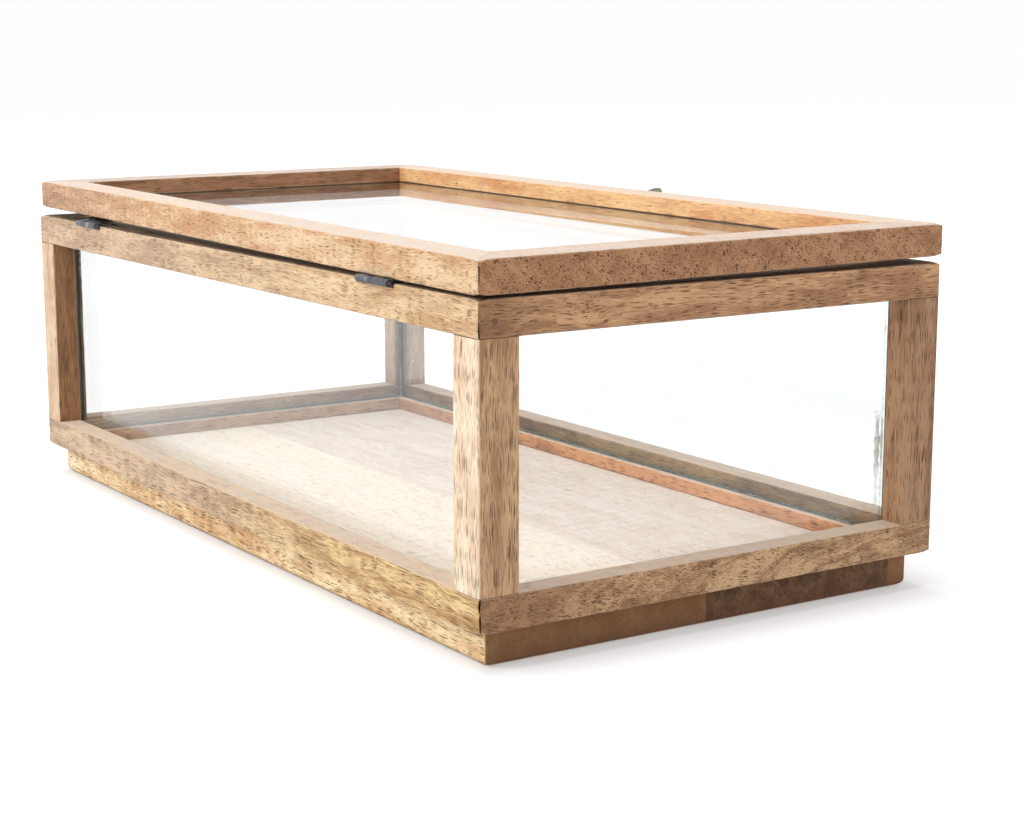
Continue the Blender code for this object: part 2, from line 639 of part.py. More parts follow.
def build_staple(brass, upper_front):
    bend = STAPLE_LEG_SPACING / 2
    tip_y = -HALF_WIDTH - STAPLE_STAND_OUT + STAPLE_WIRE_RADIUS
    path = [(-HALF_WIDTH + STAPLE_LEG_DEPTH, STAPLE_Z + bend)]
    turns = 8
    for i in range(turns + 1):
        angle = math.pi / 2 + math.pi * i / turns
        y = tip_y + bend + bend * math.cos(angle)
        path.append((y, STAPLE_Z + bend * math.sin(angle)))
    path.append((-HALF_WIDTH + STAPLE_LEG_DEPTH, STAPLE_Z - bend))
    loops = []
    for i, (y, z) in enumerate(path):
        before = Vector(path[max(i - 1, 0)])
        after = Vector(path[min(i + 1, len(path) - 1)])
        heading = (after - before).normalized()
        loop = []
        for k in range(SMALL_SIDES):
            angle = 2 * math.pi * k / SMALL_SIDES
            across = STAPLE_WIRE_RADIUS * math.cos(angle)
            beside = STAPLE_WIRE_RADIUS * math.sin(angle)
            loop.append((beside, y - heading.y * across, z + heading.x * across))
        loops.append(loop)
    wire = bmesh.new()
    add_loft(wire, loops)
    add_object("staple", wire, brass, smooth=True)
    hole_radius = STAPLE_WIRE_RADIUS + FIT_GAP
    hole = [(-hole_radius, hole_radius), (STAPLE_LEG_DEPTH + JOINT_GAP, hole_radius)]
    places = [((0, -HALF_WIDTH, STAPLE_Z + sign * bend), (0, 1, 0)) for sign in (-1, 1)]
    cut(upper_front, hole_cutter("cutter_staple", hole, places))


# ------------------------------------------------------------------ fasteners in the wood
def build_dowels(label, level, rails, posts, wood):
    """A dowel in each post's end, on the mitre of the frame that it meets."""
    centre = SHOULDER / 2
    places = []
    for sx, sy in CORNERS.values():
        x = sx * (HALF_LENGTH - centre)
        y = sy * (HALF_WIDTH - centre)
        places.append(((x, y, level - DOWEL_DEPTH), (0, 0, 1)))
    dowel = [(0, DOWEL_RADIUS), (2 * DOWEL_DEPTH, DOWEL_RADIUS)]
    turned_pieces([label + "_dowel_" + corner for corner in CORNERS], dowel, places, wood)
    holes = hole_cutter("cutter_dowels_" + label, grow(dowel, FIT_GAP), places)
    for piece in list(rails.values()) + list(posts.values()):
        cut(piece, holes)


def build_base_screws(steel, staves, lower):
    """Screws up through the base into the lower frame, with their heads let in."""
    x = HALF_LENGTH - BASE_SCREW_END_DISTANCE
    y = HALF_WIDTH - SHOULDER
    places = [((sx * x, sy * y, BASE_SCREW_RECESS), (0, 0, 1)) for sx, sy in CORNERS.values()]
    length = BASE_THICKNESS + BASE_SCREW_GRIP - BASE_SCREW_RECESS
    size = (BASE_SCREW_SHANK_RADIUS, BASE_SCREW_HEAD_RADIUS, BASE_SCREW_HEAD_HEIGHT)
    profile = screw_profile(length, *size)
    turned_pieces(["base_screw_" + corner for corner in CORNERS], profile, places, steel)
    hole = grow(profile, FIT_GAP)
    hole[0] = (-BASE_SCREW_RECESS - FIT_GAP, hole[0][1])
    hole.insert(1, (0, hole[0][1]))
    holes = hole_cutter("cutter_base_screws", hole, places)
    for piece in staves + list(lower.values()):
        cut(piece, holes)


def main():
    clear_scene()
    wood_frame = make_material("frame_wood", (0.55, 0.36, 0.21), 0.55)
    wood_base = make_material("base_wood", (0.50, 0.33, 0.20), 0.6)
    wood_lid = make_material("lid_wood", (0.56, 0.38, 0.23), 0.55)
    glass = make_material("clear_glass", (0.90, 0.95, 0.93), 0.03, transmission=1.0)
    silicone = make_material("clear_silicone", (0.85, 0.87, 0.86), 0.25)
    hinge_steel = make_material("hinge_steel", (0.10, 0.10, 0.11), 0.45, 1.0)
    screw_steel = make_material("screw_steel", (0.35, 0.35, 0.36), 0.4, 1.0)
    brass = make_material("aged_brass", (0.33, 0.33, 0.20), 0.45, 1.0)
    dowel_wood = make_material("dowel_wood", (0.60, 0.45, 0.28), 0.6)

    staves = build_base(wood_base)
    lower, upper = build_frames(wood_frame)
    posts = build_posts(wood_frame)
    build_panes(glass)
    build_case_silicone(silicone)
    lid = build_lid(wood_lid, glass, silicone)
    build_hinges(hinge_steel, screw_steel, upper["back"], lid["back"])
    build_hasp(brass, lid["front"], upper["front"])
    build_dowels("lower", LOWER_RAIL_TOP, lower, posts, dowel_wood)
    build_dowels("upper", UPPER_RAIL_BOTTOM, upper, posts, dowel_wood)
    build_base_screws(screw_steel, staves, lower)


main()
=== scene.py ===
# %% [markdown]
# # A tabletop display case, finished piece by piece
#
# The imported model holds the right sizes, the joints and the plain solids. This lesson adds what
# an eye looks for: eased edges and open mitres, wood with pores and figure, glass that reflects,
# lumpy silicone, slotted screws and dull metal. Each cell makes one thing and prints what it made.

# %% Load the frame
import json
import math

import bmesh
import bpy
import numpy as np
from mathutils import Euler, Matrix, Vector, noise


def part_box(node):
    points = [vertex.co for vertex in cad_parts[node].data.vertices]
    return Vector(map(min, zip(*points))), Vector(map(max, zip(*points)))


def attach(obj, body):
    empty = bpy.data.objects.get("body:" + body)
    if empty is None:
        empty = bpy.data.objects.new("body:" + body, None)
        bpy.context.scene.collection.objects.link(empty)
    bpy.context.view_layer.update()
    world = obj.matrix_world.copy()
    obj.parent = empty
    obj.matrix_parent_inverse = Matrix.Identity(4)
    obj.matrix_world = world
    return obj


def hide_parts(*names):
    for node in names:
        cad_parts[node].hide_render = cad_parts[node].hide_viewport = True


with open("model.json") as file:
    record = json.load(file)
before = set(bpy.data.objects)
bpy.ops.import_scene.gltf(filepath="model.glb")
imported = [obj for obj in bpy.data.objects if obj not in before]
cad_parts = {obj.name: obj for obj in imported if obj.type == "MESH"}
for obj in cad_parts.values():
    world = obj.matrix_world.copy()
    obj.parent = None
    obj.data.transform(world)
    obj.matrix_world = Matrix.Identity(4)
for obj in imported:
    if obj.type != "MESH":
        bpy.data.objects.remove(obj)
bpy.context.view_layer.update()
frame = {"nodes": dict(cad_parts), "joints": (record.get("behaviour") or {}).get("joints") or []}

# %% [markdown]
# ## Sizes
#
# Nothing here is typed twice. A rail's length and width are read from its own box in the frame,
# and the rebates follow from where the glass lies, because the glass stands 0.3 mm off the wood.

# %% Read the case's sizes from the frame
JOINT_GAP = 0.0003              # the clearance between pieces that touch
GLUE_LINE = 0.00005             # what is left of it where two pieces are glued
GLASS_EDGE_GAP = 0.0008         # between the lid glass's edge and its rebate

low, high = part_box("lower_rail_back")
HALF_LENGTH = high.x + JOINT_GAP / 2
HALF_WIDTH = high.y
STOCK_WIDTH = high.y - low.y
LOWER_BOTTOM = low.z - JOINT_GAP + GLUE_LINE
LOWER_TOP = high.z
low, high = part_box("upper_rail_back")
UPPER_BOTTOM = low.z
UPPER_TOP = high.z
low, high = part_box("pane_back")
SHOULDER = HALF_WIDTH - high.y - JOINT_GAP
REBATE_FLOOR = low.z - JOINT_GAP
REBATE_CEILING = high.z + JOINT_GAP
GLASS_INNER = HALF_WIDTH - low.y
low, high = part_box("lid_rail_back")
LID_BOTTOM = low.z
LID_TOP = high.z
LID_SIDE_WIDTH = high.y - low.y
low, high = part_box("lid_rail_left")
LID_END_WIDTH = high.x - low.x
low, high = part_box("lid_glass")
LID_CEILING = high.z + JOINT_GAP
LID_SIDE_LIP = HALF_WIDTH - high.y - GLASS_EDGE_GAP
LID_END_LIP = HALF_LENGTH - high.x - GLASS_EDGE_GAP
print("case", round(2 * HALF_LENGTH, 4), "by", round(2 * HALF_WIDTH, 4), "lid top at", round(LID_TOP, 4))

# %% [markdown]
# ## Camera and light
#
# The case is seen from behind and a little above, over its back left corner, with a long lens so
# that its uprights stay nearly parallel. The surroundings are a white studio: a white sky, a
# white floor, one big soft lamp on the hinge side and one overhead. No lamp faces the left end,
# which stays in shade.


# %% Camera
def add_object(name, data):
    """A new object for a mesh, a lamp or a camera, linked into the scene."""
    made = bpy.data.objects.new(name, data)
    bpy.context.collection.objects.link(made)
    return made


camera_data = bpy.data.cameras.new("camera")
camera_data.lens = 70.1
camera_data.sensor_width = 36.0
camera = add_object("camera", camera_data)
camera.location = (-0.8470, 0.5125, 0.2376)
looking = Vector((0.8217, -0.5414, -0.1780))
camera.rotation_euler = looking.to_track_quat("-Z", "Y").to_euler()
bpy.context.scene.camera = camera
bpy.context.scene.view_settings.view_transform = "Standard"
print("camera is", round(camera.location.length, 3), "m from the case's origin")

# %% White studio sky
DIFFUSE_SKY = 0.60              # how bright the white sky is for matt surfaces
MIRROR_SKY = 1.30               # and for reflections

world = bpy.data.worlds.new("studio")
bpy.context.scene.world = world
world.use_nodes = True
sky_tree = world.node_tree
sky = sky_tree.nodes["Background"]
sky.inputs["Color"].default_value = (0.985, 0.992, 1.0, 1.0)
rays = sky_tree.nodes.new("ShaderNodeLightPath")
strength = sky_tree.nodes.new("ShaderNodeMath")
strength.operation = "MULTIPLY"
sky_levels = {"Is Diffuse Ray": DIFFUSE_SKY, "Is Glossy Ray": MIRROR_SKY}
for number, (kind, amount) in enumerate(sky_levels.items()):
    dimmer = sky_tree.nodes.new("ShaderNodeMapRange")
    dimmer.inputs["To Min"].default_value = 1.0
    dimmer.inputs["To Max"].default_value = amount
    sky_tree.links.new(rays.outputs[kind], dimmer.inputs["Value"])
    sky_tree.links.new(dimmer.outputs["Result"], strength.inputs[number])
sky_tree.links.new(strength.outputs[0], sky.inputs["Strength"])
print("sky levels:", sky_levels)


# %% Soft lamps
def soft_lamp(name, place, target, size, power, colour=(1.0, 1.0, 1.0)):
    """A square area lamp that faces a target."""
    lamp = bpy.data.lights.new(name, "AREA")
    lamp.shape = "SQUARE"
    lamp.size = size
    lamp.energy = power
    lamp.color = colour
    made = add_object(name, lamp)
    made.location = place
    made.rotation_euler = (Vector(target) - Vector(place)).to_track_quat("-Z", "Y").to_euler()
    print(name, "gives", power, "W")


soft_lamp("lamp_hinge_side", (0.25, 1.7, 1.0), (0, 0, 0.08), 1.3, 18.0, (1.0, 0.99, 0.98))
soft_lamp("lamp_above", (0.2, 0.1, 2.0), (0, 0, 0.1), 1.6, 23.0)

# %% Studio floor
FLOOR_REACH = 6.0
FLOOR_HEIGHT = -0.0004          # just below the case, so that the two never share a face
TURNS = ((-1, -1), (1, -1), (1, 1), (-1, 1))

floor_mesh = bpy.data.meshes.new("studio_floor")
floor_corners = [(sx * FLOOR_REACH, sy * FLOOR_REACH, FLOOR_HEIGHT) for sx, sy in TURNS]
floor_mesh.from_pydata(floor_corners, [], [(0, 1, 2, 3)])
add_object("studio_floor", floor_mesh)
print("floor reaches", FLOOR_REACH, "m each way")

# %% [markdown]
# ## Shader maths as Python
#
# A finish is a small program that is run at every point of a surface. Writing it as nodes and
# links hides the sums, so one class wraps a socket and lets `+ - * /` add the Math nodes, and one
# method makes any other node from its type, its settings and its inputs.


# %% One class for sockets, one for finishes
class Value:
    """A shader output that arithmetic works on. Each operator adds one Math node."""

    def __init__(self, finish, socket):
        self.finish = finish
        self.socket = socket

    def math(self, operation, *others, clamp=False):
        settings = {"operation": operation, "use_clamp": clamp}
        return self.finish.node("ShaderNodeMath", settings, dict(enumerate((self, *others))))

    def flipped(self, operation, other):
        return self.finish.node("ShaderNodeMath", {"operation": operation}, {0: other, 1: self})

    def __add__(self, other):
        return self.math("ADD", other)

    def __sub__(self, other):
        return self.math("SUBTRACT", other)

    def __mul__(self, other):
        return self.math("MULTIPLY", other)

    def __truediv__(self, other):
        return self.math("DIVIDE", other)

    def __pow__(self, other):
        return self.math("POWER", other)

    def __rsub__(self, other):
        return self.flipped("SUBTRACT", other)

    __radd__ = __add__
    __rmul__ = __mul__

    def clamped(self):
        return self.math("ADD", 0.0, clamp=True)

    def between(self, start, end):
        """0 at start, 1 at end, with a soft ramp between them."""
        inputs = {"Value": self, "From Min": start, "From Max": end}
        return self.finish.node("ShaderNodeMapRange", {"interpolation_type": "SMOOTHSTEP"}, inputs)

    def output(self, name):
        """Another output of the node that this value comes from."""
        return Value(self.finish, self.socket.node.outputs[name])


class Finish:
    """A material, with one method for every node in it."""

    def __init__(self, name):
        self.material = bpy.data.materials.new(name)
        self.material.use_nodes = True
        self.tree = self.material.node_tree
        self.tree.nodes.clear()

    def node(self, kind, settings=None, inputs=None, out=0):
        made = self.tree.nodes.new(kind)
        for key, value in (settings or {}).items():
            setattr(made, key, value)
        for key, value in (inputs or {}).items():
            if isinstance(value, Value):
                self.tree.links.new(value.socket, made.inputs[key])
            else:
                made.inputs[key].default_value = value
        return Value(self, made.outputs[out])

    def mix(self, share, first, second):
        """Blend two colours. The node's colour sockets are its seventh and eighth."""
        return self.node("ShaderNodeMix", {"data_type": "RGBA"}, {0: share, 6: first, 7: second}, out=2)

    def vector(self, x, y, z):
        return self.node("ShaderNodeCombineXYZ", None, {0: x, 1: y, 2: z})

    def split(self, vector):
        """A vector's X, with Y and Z as the node's other outputs."""
        return self.node("ShaderNodeSeparateXYZ", None, {0: vector})

    def place(self):
        """Where a point of the piece lies, in metres."""
        return self.node("ShaderNodeTexCoord", None, None, out="Object")

    def scaled(self, scale):
        """The same place times a scale, so that a pattern comes out that much finer."""
        return self.node("ShaderNodeMapping", None, {"Vector": self.place(), "Scale": (scale,) * 3})

    def noise(self, vector, detail=2.0, roughness=0.5):
        inputs = {"Vector": vector, "Scale": 1.0, "Detail": detail, "Roughness": roughness}
        return self.node("ShaderNodeTexNoise", None, inputs)

    def cells(self, vector):
        """Scattered points: the value is the distance to the nearest one."""
        return self.node("ShaderNodeTexVoronoi", None, {"Vector": vector, "Scale": 1.0})

    def bump(self, height, distance, strength=1.0):
        inputs = {"Height": height, "Distance": distance, "Strength": strength}
        return self.node("ShaderNodeBump", None, inputs)

    def solid(self, inputs):
        """The shader for anything that isn't see-through."""
        return self.node("ShaderNodeBsdfPrincipled", None, inputs)

    def surface(self, shader):
        output = self.tree.nodes.new("ShaderNodeOutputMaterial")
        self.tree.links.new(shader.socket, output.inputs["Surface"])
        return self.material


def paint(red, green, blue):
    """A colour as a painter's 0 to 255 numbers, made linear for the shader."""
    return (*[(channel / 255) ** 2.2 for channel in (red, green, blue)], 1.0)


# %% [markdown]
# ## The wood
#
# The timber is a pale tropical hardwood. Three things make it look so. Its vessels show as
# short dark dashes where the grain runs along the face and as dots where it dives into it. Its
# colour drifts in soft bands, from cream to olive brown. And it is matt, with a dull sheen at a
# low angle. A flat picture of grain would break at every corner, so the pattern is solid: it is
# worked out in the three directions of the timber, and each face cuts through it.

# %% Tones
CREAM = paint(214, 187, 158)
HONEY = paint(198, 162, 126)
TAN = paint(188, 145, 108)
BROWN = paint(154, 110, 78)
UMBER = paint(116, 78, 52)
RUSSET = paint(194, 134, 102)
OLIVE = paint(168, 140, 98)
# the default top tone, a pale painted sheen
PALE_TOP_SHEEN = paint(240, 224, 210)
PORE = paint(88, 52, 32)

QUARTER = math.pi / 2
TURN_TO_GRAIN = {"x": Euler((0, 0, 0)), "y": Euler((0, 0, -QUARTER)), "z": Euler((0, QUARTER, 0))}
print("axes that the grain can follow:", list(TURN_TO_GRAIN))


# %% The wood's finish
def wood_finish(name, grain, centre, seed, light=CREAM, dark=TAN, accent=RUSSET, tilt=(0.0, 0.0),
                pore_length=0.0088, pore_spacing=0.00044, porous=0.58, pore_depth=0.78,
                curl=0.006, dive=0.3, figure=0.5, end_tone=UMBER, painted_top_light=PALE_TOP_SHEEN, side=None, stains=()):
    """Solid wood. grain is the axis that the timber runs along, and tilt leans it in radians.

    side is a light and a dark tone for the face towards -X, painted there as shade. The top tone is
    painted on the upward faces: a painted sheen, and painted shade for a top that lies in shadow.
    Each stain is an axis, where it starts and where it is full, a tone and a share.
    """
    wood = Finish(name)
    lean = Euler((0, tilt[0], tilt[1])).to_matrix() @ TURN_TO_GRAIN[grain].to_matrix()
    shift = Vector((seed * 0.71, 0.035, 0.022)) - lean @ Vector(centre)
    place = wood.place()
    turned = {"Vector": place, "Location": shift, "Rotation": lean.to_euler()}
    timber = wood.node("ShaderNodeMapping", None, turned)
    along = wood.split(timber)
    across = along.output("Y")
    deep = along.output("Z")

    # the grain wanders: it bends slowly sideways as it runs along, and shivers as it goes
    sway = wood.noise(wood.vector(along / 0.055, across / 0.030, deep / 0.030), 2.0)
    sink = wood.noise(wood.vector(along / 0.040, across / 0.026 + 7.0, deep / 0.026), 2.0)
    shiver = wood.noise(wood.vector(along / 0.007, across / 0.004, deep / 0.004), 1.0)
    across = across + (sway - 0.5) * curl + (shiver - 0.5) * 0.0006
    deep = deep + (sink - 0.5) * (dive * 0.02)

    # growth bands round a heart that lies outside the piece, drifting colour and fine fibre
    facing = wood.split(wood.node("ShaderNodeTexCoord", None, None, out="Normal"))
    # top marks the upward faces, where the painted sheen also softens the grain's contrast and hides most
    # pores
    top = facing.output("Z").between(0.6, 0.9)
    radius = ((across * across + deep * deep) ** 0.5) / 0.0042
    bands = wood.noise(wood.vector(radius, along / 0.25, seed), 3.0, 0.6)
    drift = wood.noise(wood.vector(along / 0.032, across / 0.008, deep / 0.008), 4.0, 0.6)
    fibre = wood.noise(wood.vector(along / 0.009, across / 0.00045, deep / 0.00045), 2.0)
    swing = (bands - 0.5) * (3.4 * figure) + (drift - 0.5) * 3.0 + (fibre - 0.5) * 2.6
    tone = (0.5 + swing * (1.0 - top * 0.45)).clamped()
    colour = wood.mix(tone, light, dark)
    patch = wood.noise(wood.vector(along / 0.026 + 3.0, across / 0.006, deep / 0.006), 3.0)
    colour = wood.mix(patch.between(0.54, 0.76) * 0.75, colour, accent)
    # painted shade: the faces towards -X take the darker side tones
    if side:
        colour = wood.mix((0.0 - facing).between(0.6, 0.9), colour, wood.mix(tone, *side))
    spot = wood.split(place)
    ragged = (patch - 0.5) * 0.8
    for axis, start, full, stain, share in stains:
        amount = ((spot.output(axis) - start) / (full - start) + ragged).clamped()
        deeper = (*[channel * 0.62 for channel in stain[:3]], 1.0)
        colour = wood.mix(amount * share, colour, wood.mix(tone, stain, deeper))

    # upward faces take a pale painted sheen (painted shade instead on tops that lie in shadow); end
    # grain is dark and fuzzy, and painted darker towards the bottom as shade; faces that look down are
    # painted darker as shade
    colour = wood.mix(top * 0.93, colour, wood.mix(tone * 0.4, painted_top_light, light))
    fuzz = wood.noise(wood.vector(along / 0.002, across / 0.0009, deep / 0.0009), 3.0, 0.7)
    cut = facing.output(grain.upper()).math("ABSOLUTE").between(0.40, 0.80)
    cut_colour = wood.mix((fuzz * 0.4 + drift * 0.6).between(0.38, 0.62) * 0.42, end_tone, TAN)
    # painted shade: end grain is darkened towards the bottom of the piece
    cut_colour = wood.mix(spot.output("Z").between(0.014, 0.0) * 0.55, cut_colour, PORE)
    colour = wood.mix(cut * 0.95, colour, cut_colour)
    # painted shade: faces that look down are darkened towards umber
    colour = wood.mix((0.0 - facing.output("Z")).between(0.2, 0.7) * 0.6, colour, UMBER)

    # vessels, as long thin cells that a face cuts into dashes
    vessels = wood.cells(wood.vector(along / pore_length, across / pore_spacing, deep / pore_spacing))
    chance = wood.split(vessels.output("Color"))
    crowd = wood.noise(wood.vector(along / 0.020, across / 0.005, deep / 0.005 + 5.0), 2.0)
    size = (chance * 0.42 + 0.01) * (crowd * 1.3 + 0.35) * (porous * 2.0)
    pores = ((size - vessels) * 8.0).clamped()
    colour = wood.mix(pores * (1.0 - top * 0.7) * (1.0 - cut) * pore_depth, colour, PORE)

    # the hand-sanded edges take a painted highlight, a little paler where light catches them
    edge_highlight = wood.node("ShaderNodeAttribute", {"attribute_name": "arris"}, None, out="Fac")
    colour = wood.mix(edge_highlight * drift.between(0.4, 0.6) * 0.3, colour, CREAM)

    rough = (0.50 + pores * 0.25 + (drift - 0.5) * 0.16 + cut * 0.3 + top * 0.25).clamped()
    normal = wood.bump(fibre * 0.25 + drift * 0.25 - pores, 0.00010)
    inputs = {"Base Color": colour, "Roughness": rough, "Normal": normal, "Specular IOR Level": 0.42}
    return wood.surface(wood.solid(inputs))


# %% [markdown]
# ## Eased timber
#
# Every rail is a length of planed stock with a rebate, so one outline is carried along it. Four
# things keep it from looking machined: its edges are rounded with glass paper, the rounding is
# never even, the mitre stands slightly open at the outer corner, and that corner is rubbed down.

# %% An outline with rounded corners
EDGE_RADIUS = 0.00055
EDGE_STEPS = 3                  # faces round each rounded edge
OUTLINE_SPACING = 0.0026
GUARD = 0.0002                  # a row of points beside each rounding keeps the faces flat


def eased(outline):
    """Round an outline's outward corners and divide its sides; the third number marks a corner."""
    corners = [Vector(point) for point in outline]
    count = len(corners)
    around = sum(corners[i].x * corners[(i + 1) % count].y - corners[(i + 1) % count].x * corners[i].y
                 for i in range(count))
    rounded = []
    for i, here in enumerate(corners):
        back = (corners[i - 1] - here).normalized()
        ahead = (corners[(i + 1) % count] - here).normalized()
        turn = -(back.x * ahead.y - back.y * ahead.x)
        if turn * around <= 0:
            rounded.append([here])
            continue
        middle = here + (back + ahead) * EDGE_RADIUS
        angles = [QUARTER * k / EDGE_STEPS for k in range(EDGE_STEPS + 1)]
        rounded.append([middle - (ahead * math.cos(a) + back * math.sin(a)) * EDGE_RADIUS for a in angles])
    points = []
    for i, corner in enumerate(rounded):
        points += [(p.x, p.y, 1.0 if len(corner) > 1 else 0.0) for p in corner]
        start = corner[-1]
        end = rounded[(i + 1) % count][0]
        length = (end - start).length
        inner = max(int(length / OUTLINE_SPACING), 1)
        places = [GUARD] + [length * k / inner for k in range(1, inner)] + [length - GUARD]
        points += [(*(start.lerp(end, place / length)), 0.0) for place in places]
    return points


# %% Carry an outline along a length
SMOOTH_ANGLE = 40               # sharper edges than this, in degrees, stay crisp


def loft(name, rows, arris, finish):
    """A closed skin over equal loops of points, with a cap at each end and an edge mark."""
    count = len(rows[0])
    points = [point for row in rows for point in row]
    faces = []
    for r in range(len(rows) - 1):
        for i in range(count):
            j = (i + 1) % count
            faces.append((r * count + i, r * count + j, (r + 1) * count + j, (r + 1) * count + i))
    faces.append(tuple(reversed(range(count))))
    faces.append(tuple((len(rows) - 1) * count + i for i in range(count)))
    mesh = bpy.data.meshes.new(name)
    mesh.from_pydata(points, [], faces)
    shape = bmesh.new()
    shape.from_mesh(mesh)
    bmesh.ops.recalc_face_normals(shape, faces=shape.faces)
    shape.to_mesh(mesh)
    shape.free()
    marks = mesh.attributes.new("arris", "FLOAT", "POINT")
    marks.data.foreach_set("value", np.array(arris * len(rows), dtype=np.float32))
    mesh.shade_smooth()
    mesh.set_sharp_from_angle(angle=math.radians(SMOOTH_ANGLE))
    mesh.materials.append(finish)
    return add_object(name, mesh)


def finished(piece, body, slot, *nodes):
    """Fix a piece to its body and hide the solids that it stands for; slot is not used."""
    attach(piece, body)
    if nodes:
        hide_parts(*nodes)
    return piece


# %% [markdown]
# ## How the lid sits
#
# The hinges aren't let in quite evenly, so the lid tips: it stands 1 mm off at the back left
# corner, almost 5 mm at the back right one and nearly 7 mm at the front right. The frame's lid is
# level, so the pieces of the lid take a small lift that grows with x and towards the front.

# %% The lid's tilt
LID_LIFT_CORNER = -0.0009       # at the back left corner
LID_LIFT_ALONG = 0.0037         # more at the right end
LID_LIFT_ACROSS = 0.0019        # more at the front
LID_SKEW_END = 0.0015           # how far the right end has slid forward
LID_SKEW_FRONT = 0.0008         # how far the front has slid left


def lid_seat(point):
    """Where a point of the level lid really sits."""
    x, y, z = point
    along = (x + HALF_LENGTH) / (2 * HALF_LENGTH)
    across = (HALF_WIDTH - y) / (2 * HALF_WIDTH)
    x -= LID_SKEW_FRONT * across * (1 - along)
    y -= LID_SKEW_END * along * (1 - across)
    return Vector((x, y, z + LID_LIFT_CORNER + LID_LIFT_ALONG * along + LID_LIFT_ACROSS * across))


for end, x in (("left", -HALF_LENGTH), ("right", HALF_LENGTH)):
    seated = lid_seat((x, HALF_WIDTH, LID_BOTTOM))
    print("gap under the lid's back", end, "corner:", round(seated.z - UPPER_TOP, 4))

# %% [markdown]
# ## Mitred rails
#
# The three frames are mitred: each rail ends on the line from its outer to its inner corner. A
# plain box cut by a plane would do, but one loop of points for each station along the rail lets
# the outline slide to meet the mitre, and lets noise nick the edges on the way.

# %% A rail between two mitres
STATION_SPACING = 0.0032
END_STEPS = (0.0, 0.0003, 0.0007, 0.0012, 0.0018, 0.0026, 0.0036)
MITRE_GAP = 0.00060             # how far the mitre opens
MITRE_GAP_DEPTH = 0.0035        # and how deep the opening goes
NICK_DEPTH = 0.00026
CORNER_RADIUS = 0.0016          # the upright corners, rubbed round
CORNER_DROP = 0.0010            # and their tops and bottoms, rubbed down


def rubbed(point, low_z, high_z, free_edges=()):
    """Round a frame's outer corner over, as a sanding block does, and dull its free edges there."""
    x, y, z = point
    from_end = HALF_LENGTH - abs(x)
    from_side = HALF_WIDTH - abs(y)
    over_end = max(CORNER_RADIUS - from_end, 0.0)
    over_side = max(CORNER_RADIUS - from_side, 0.0)
    over = math.hypot(over_end, over_side)
    if over > CORNER_RADIUS and over_end > 0 and over_side > 0:
        x = math.copysign(HALF_LENGTH - CORNER_RADIUS + over_end * CORNER_RADIUS / over, x)
        y = math.copysign(HALF_WIDTH - CORNER_RADIUS + over_side * CORNER_RADIUS / over, y)
    reach = 3 * CORNER_RADIUS
    near = max(1 - from_end / reach, 0.0) * max(1 - from_side / reach, 0.0)
    for edge in free_edges:
        middle = (low_z + high_z) / 2
        close = max(1 - abs(z - edge) / reach, 0.0)
        z += (CORNER_DROP if middle > edge else -CORNER_DROP) * near * close
    return x, y, z


def mitred_rail(name, side, outline, own_width, other_width, finish, seed, free, seat=None):
    """A rail whose ends are cut on the line from the outer to the inner corner."""
    along_x = side in ("back", "front")
    sign = 1 if side in ("back", "right") else -1
    own_half = HALF_WIDTH if along_x else HALF_LENGTH
    other_half = HALF_LENGTH if along_x else HALF_WIDTH
    slope = other_width / own_width
    section = eased(outline)
    mid_depth = sum(p[0] for p in section) / len(section)
    low_z = min(p[1] for p in section)
    high_z = max(p[1] for p in section)
    count = int(2 * other_half / STATION_SPACING)
    stations = [(-1, step) for step in END_STEPS]
    stations += [(2 * k / count - 1, END_STEPS[-1]) for k in range(1, count)]
    stations += [(1, step) for step in reversed(END_STEPS)]
    rows = []
    for share, step in stations:
        end = 1 if share > 0 else -1
        row = []
        for depth, z, corner in section:
            ragged = noise.noise(Vector((z * 240, seed, end * 3.1)))
            open_mitre = MITRE_GAP * max(0.0, 1 - depth / MITRE_GAP_DEPTH) * max(0.0, 0.35 + 2.6 * ragged)
            along = share * (other_half - depth * slope - GLUE_LINE / 2 - open_mitre - step)
            wear = noise.noise(Vector((along * 130, depth * 90, seed + z * 90)))
            nick = corner * NICK_DEPTH * max(0.0, wear)
            in_depth = depth + nick * (1 if depth < mid_depth else -1)
            in_z = z + nick * (1 if z < (low_z + high_z) / 2 else -1)
            across = sign * (own_half - max(in_depth, 0.0))
            point = (along, across, in_z) if along_x else (across, along, in_z)
            point = rubbed(point, low_z, high_z, free)
            row.append(seat(point) if seat else point)
        rows.append(row)
    return loft(name, rows, [p[2] for p in section], finish)


SIDES = {
    "back": (0, HALF_WIDTH), "front": (0, -HALF_WIDTH),
    "left": (-HALF_LENGTH, 0), "right": (HALF_LENGTH, 0),
}
lower_outline = [
    (0, LOWER_BOTTOM), (STOCK_WIDTH, LOWER_BOTTOM), (STOCK_WIDTH, REBATE_FLOOR),
    (SHOULDER, REBATE_FLOOR), (SHOULDER, LOWER_TOP), (0, LOWER_TOP),
]
upper_outline = [
    (0, UPPER_BOTTOM), (SHOULDER, UPPER_BOTTOM), (SHOULDER, REBATE_CEILING),
    (STOCK_WIDTH, REBATE_CEILING), (STOCK_WIDTH, UPPER_TOP), (0, UPPER_TOP),
]
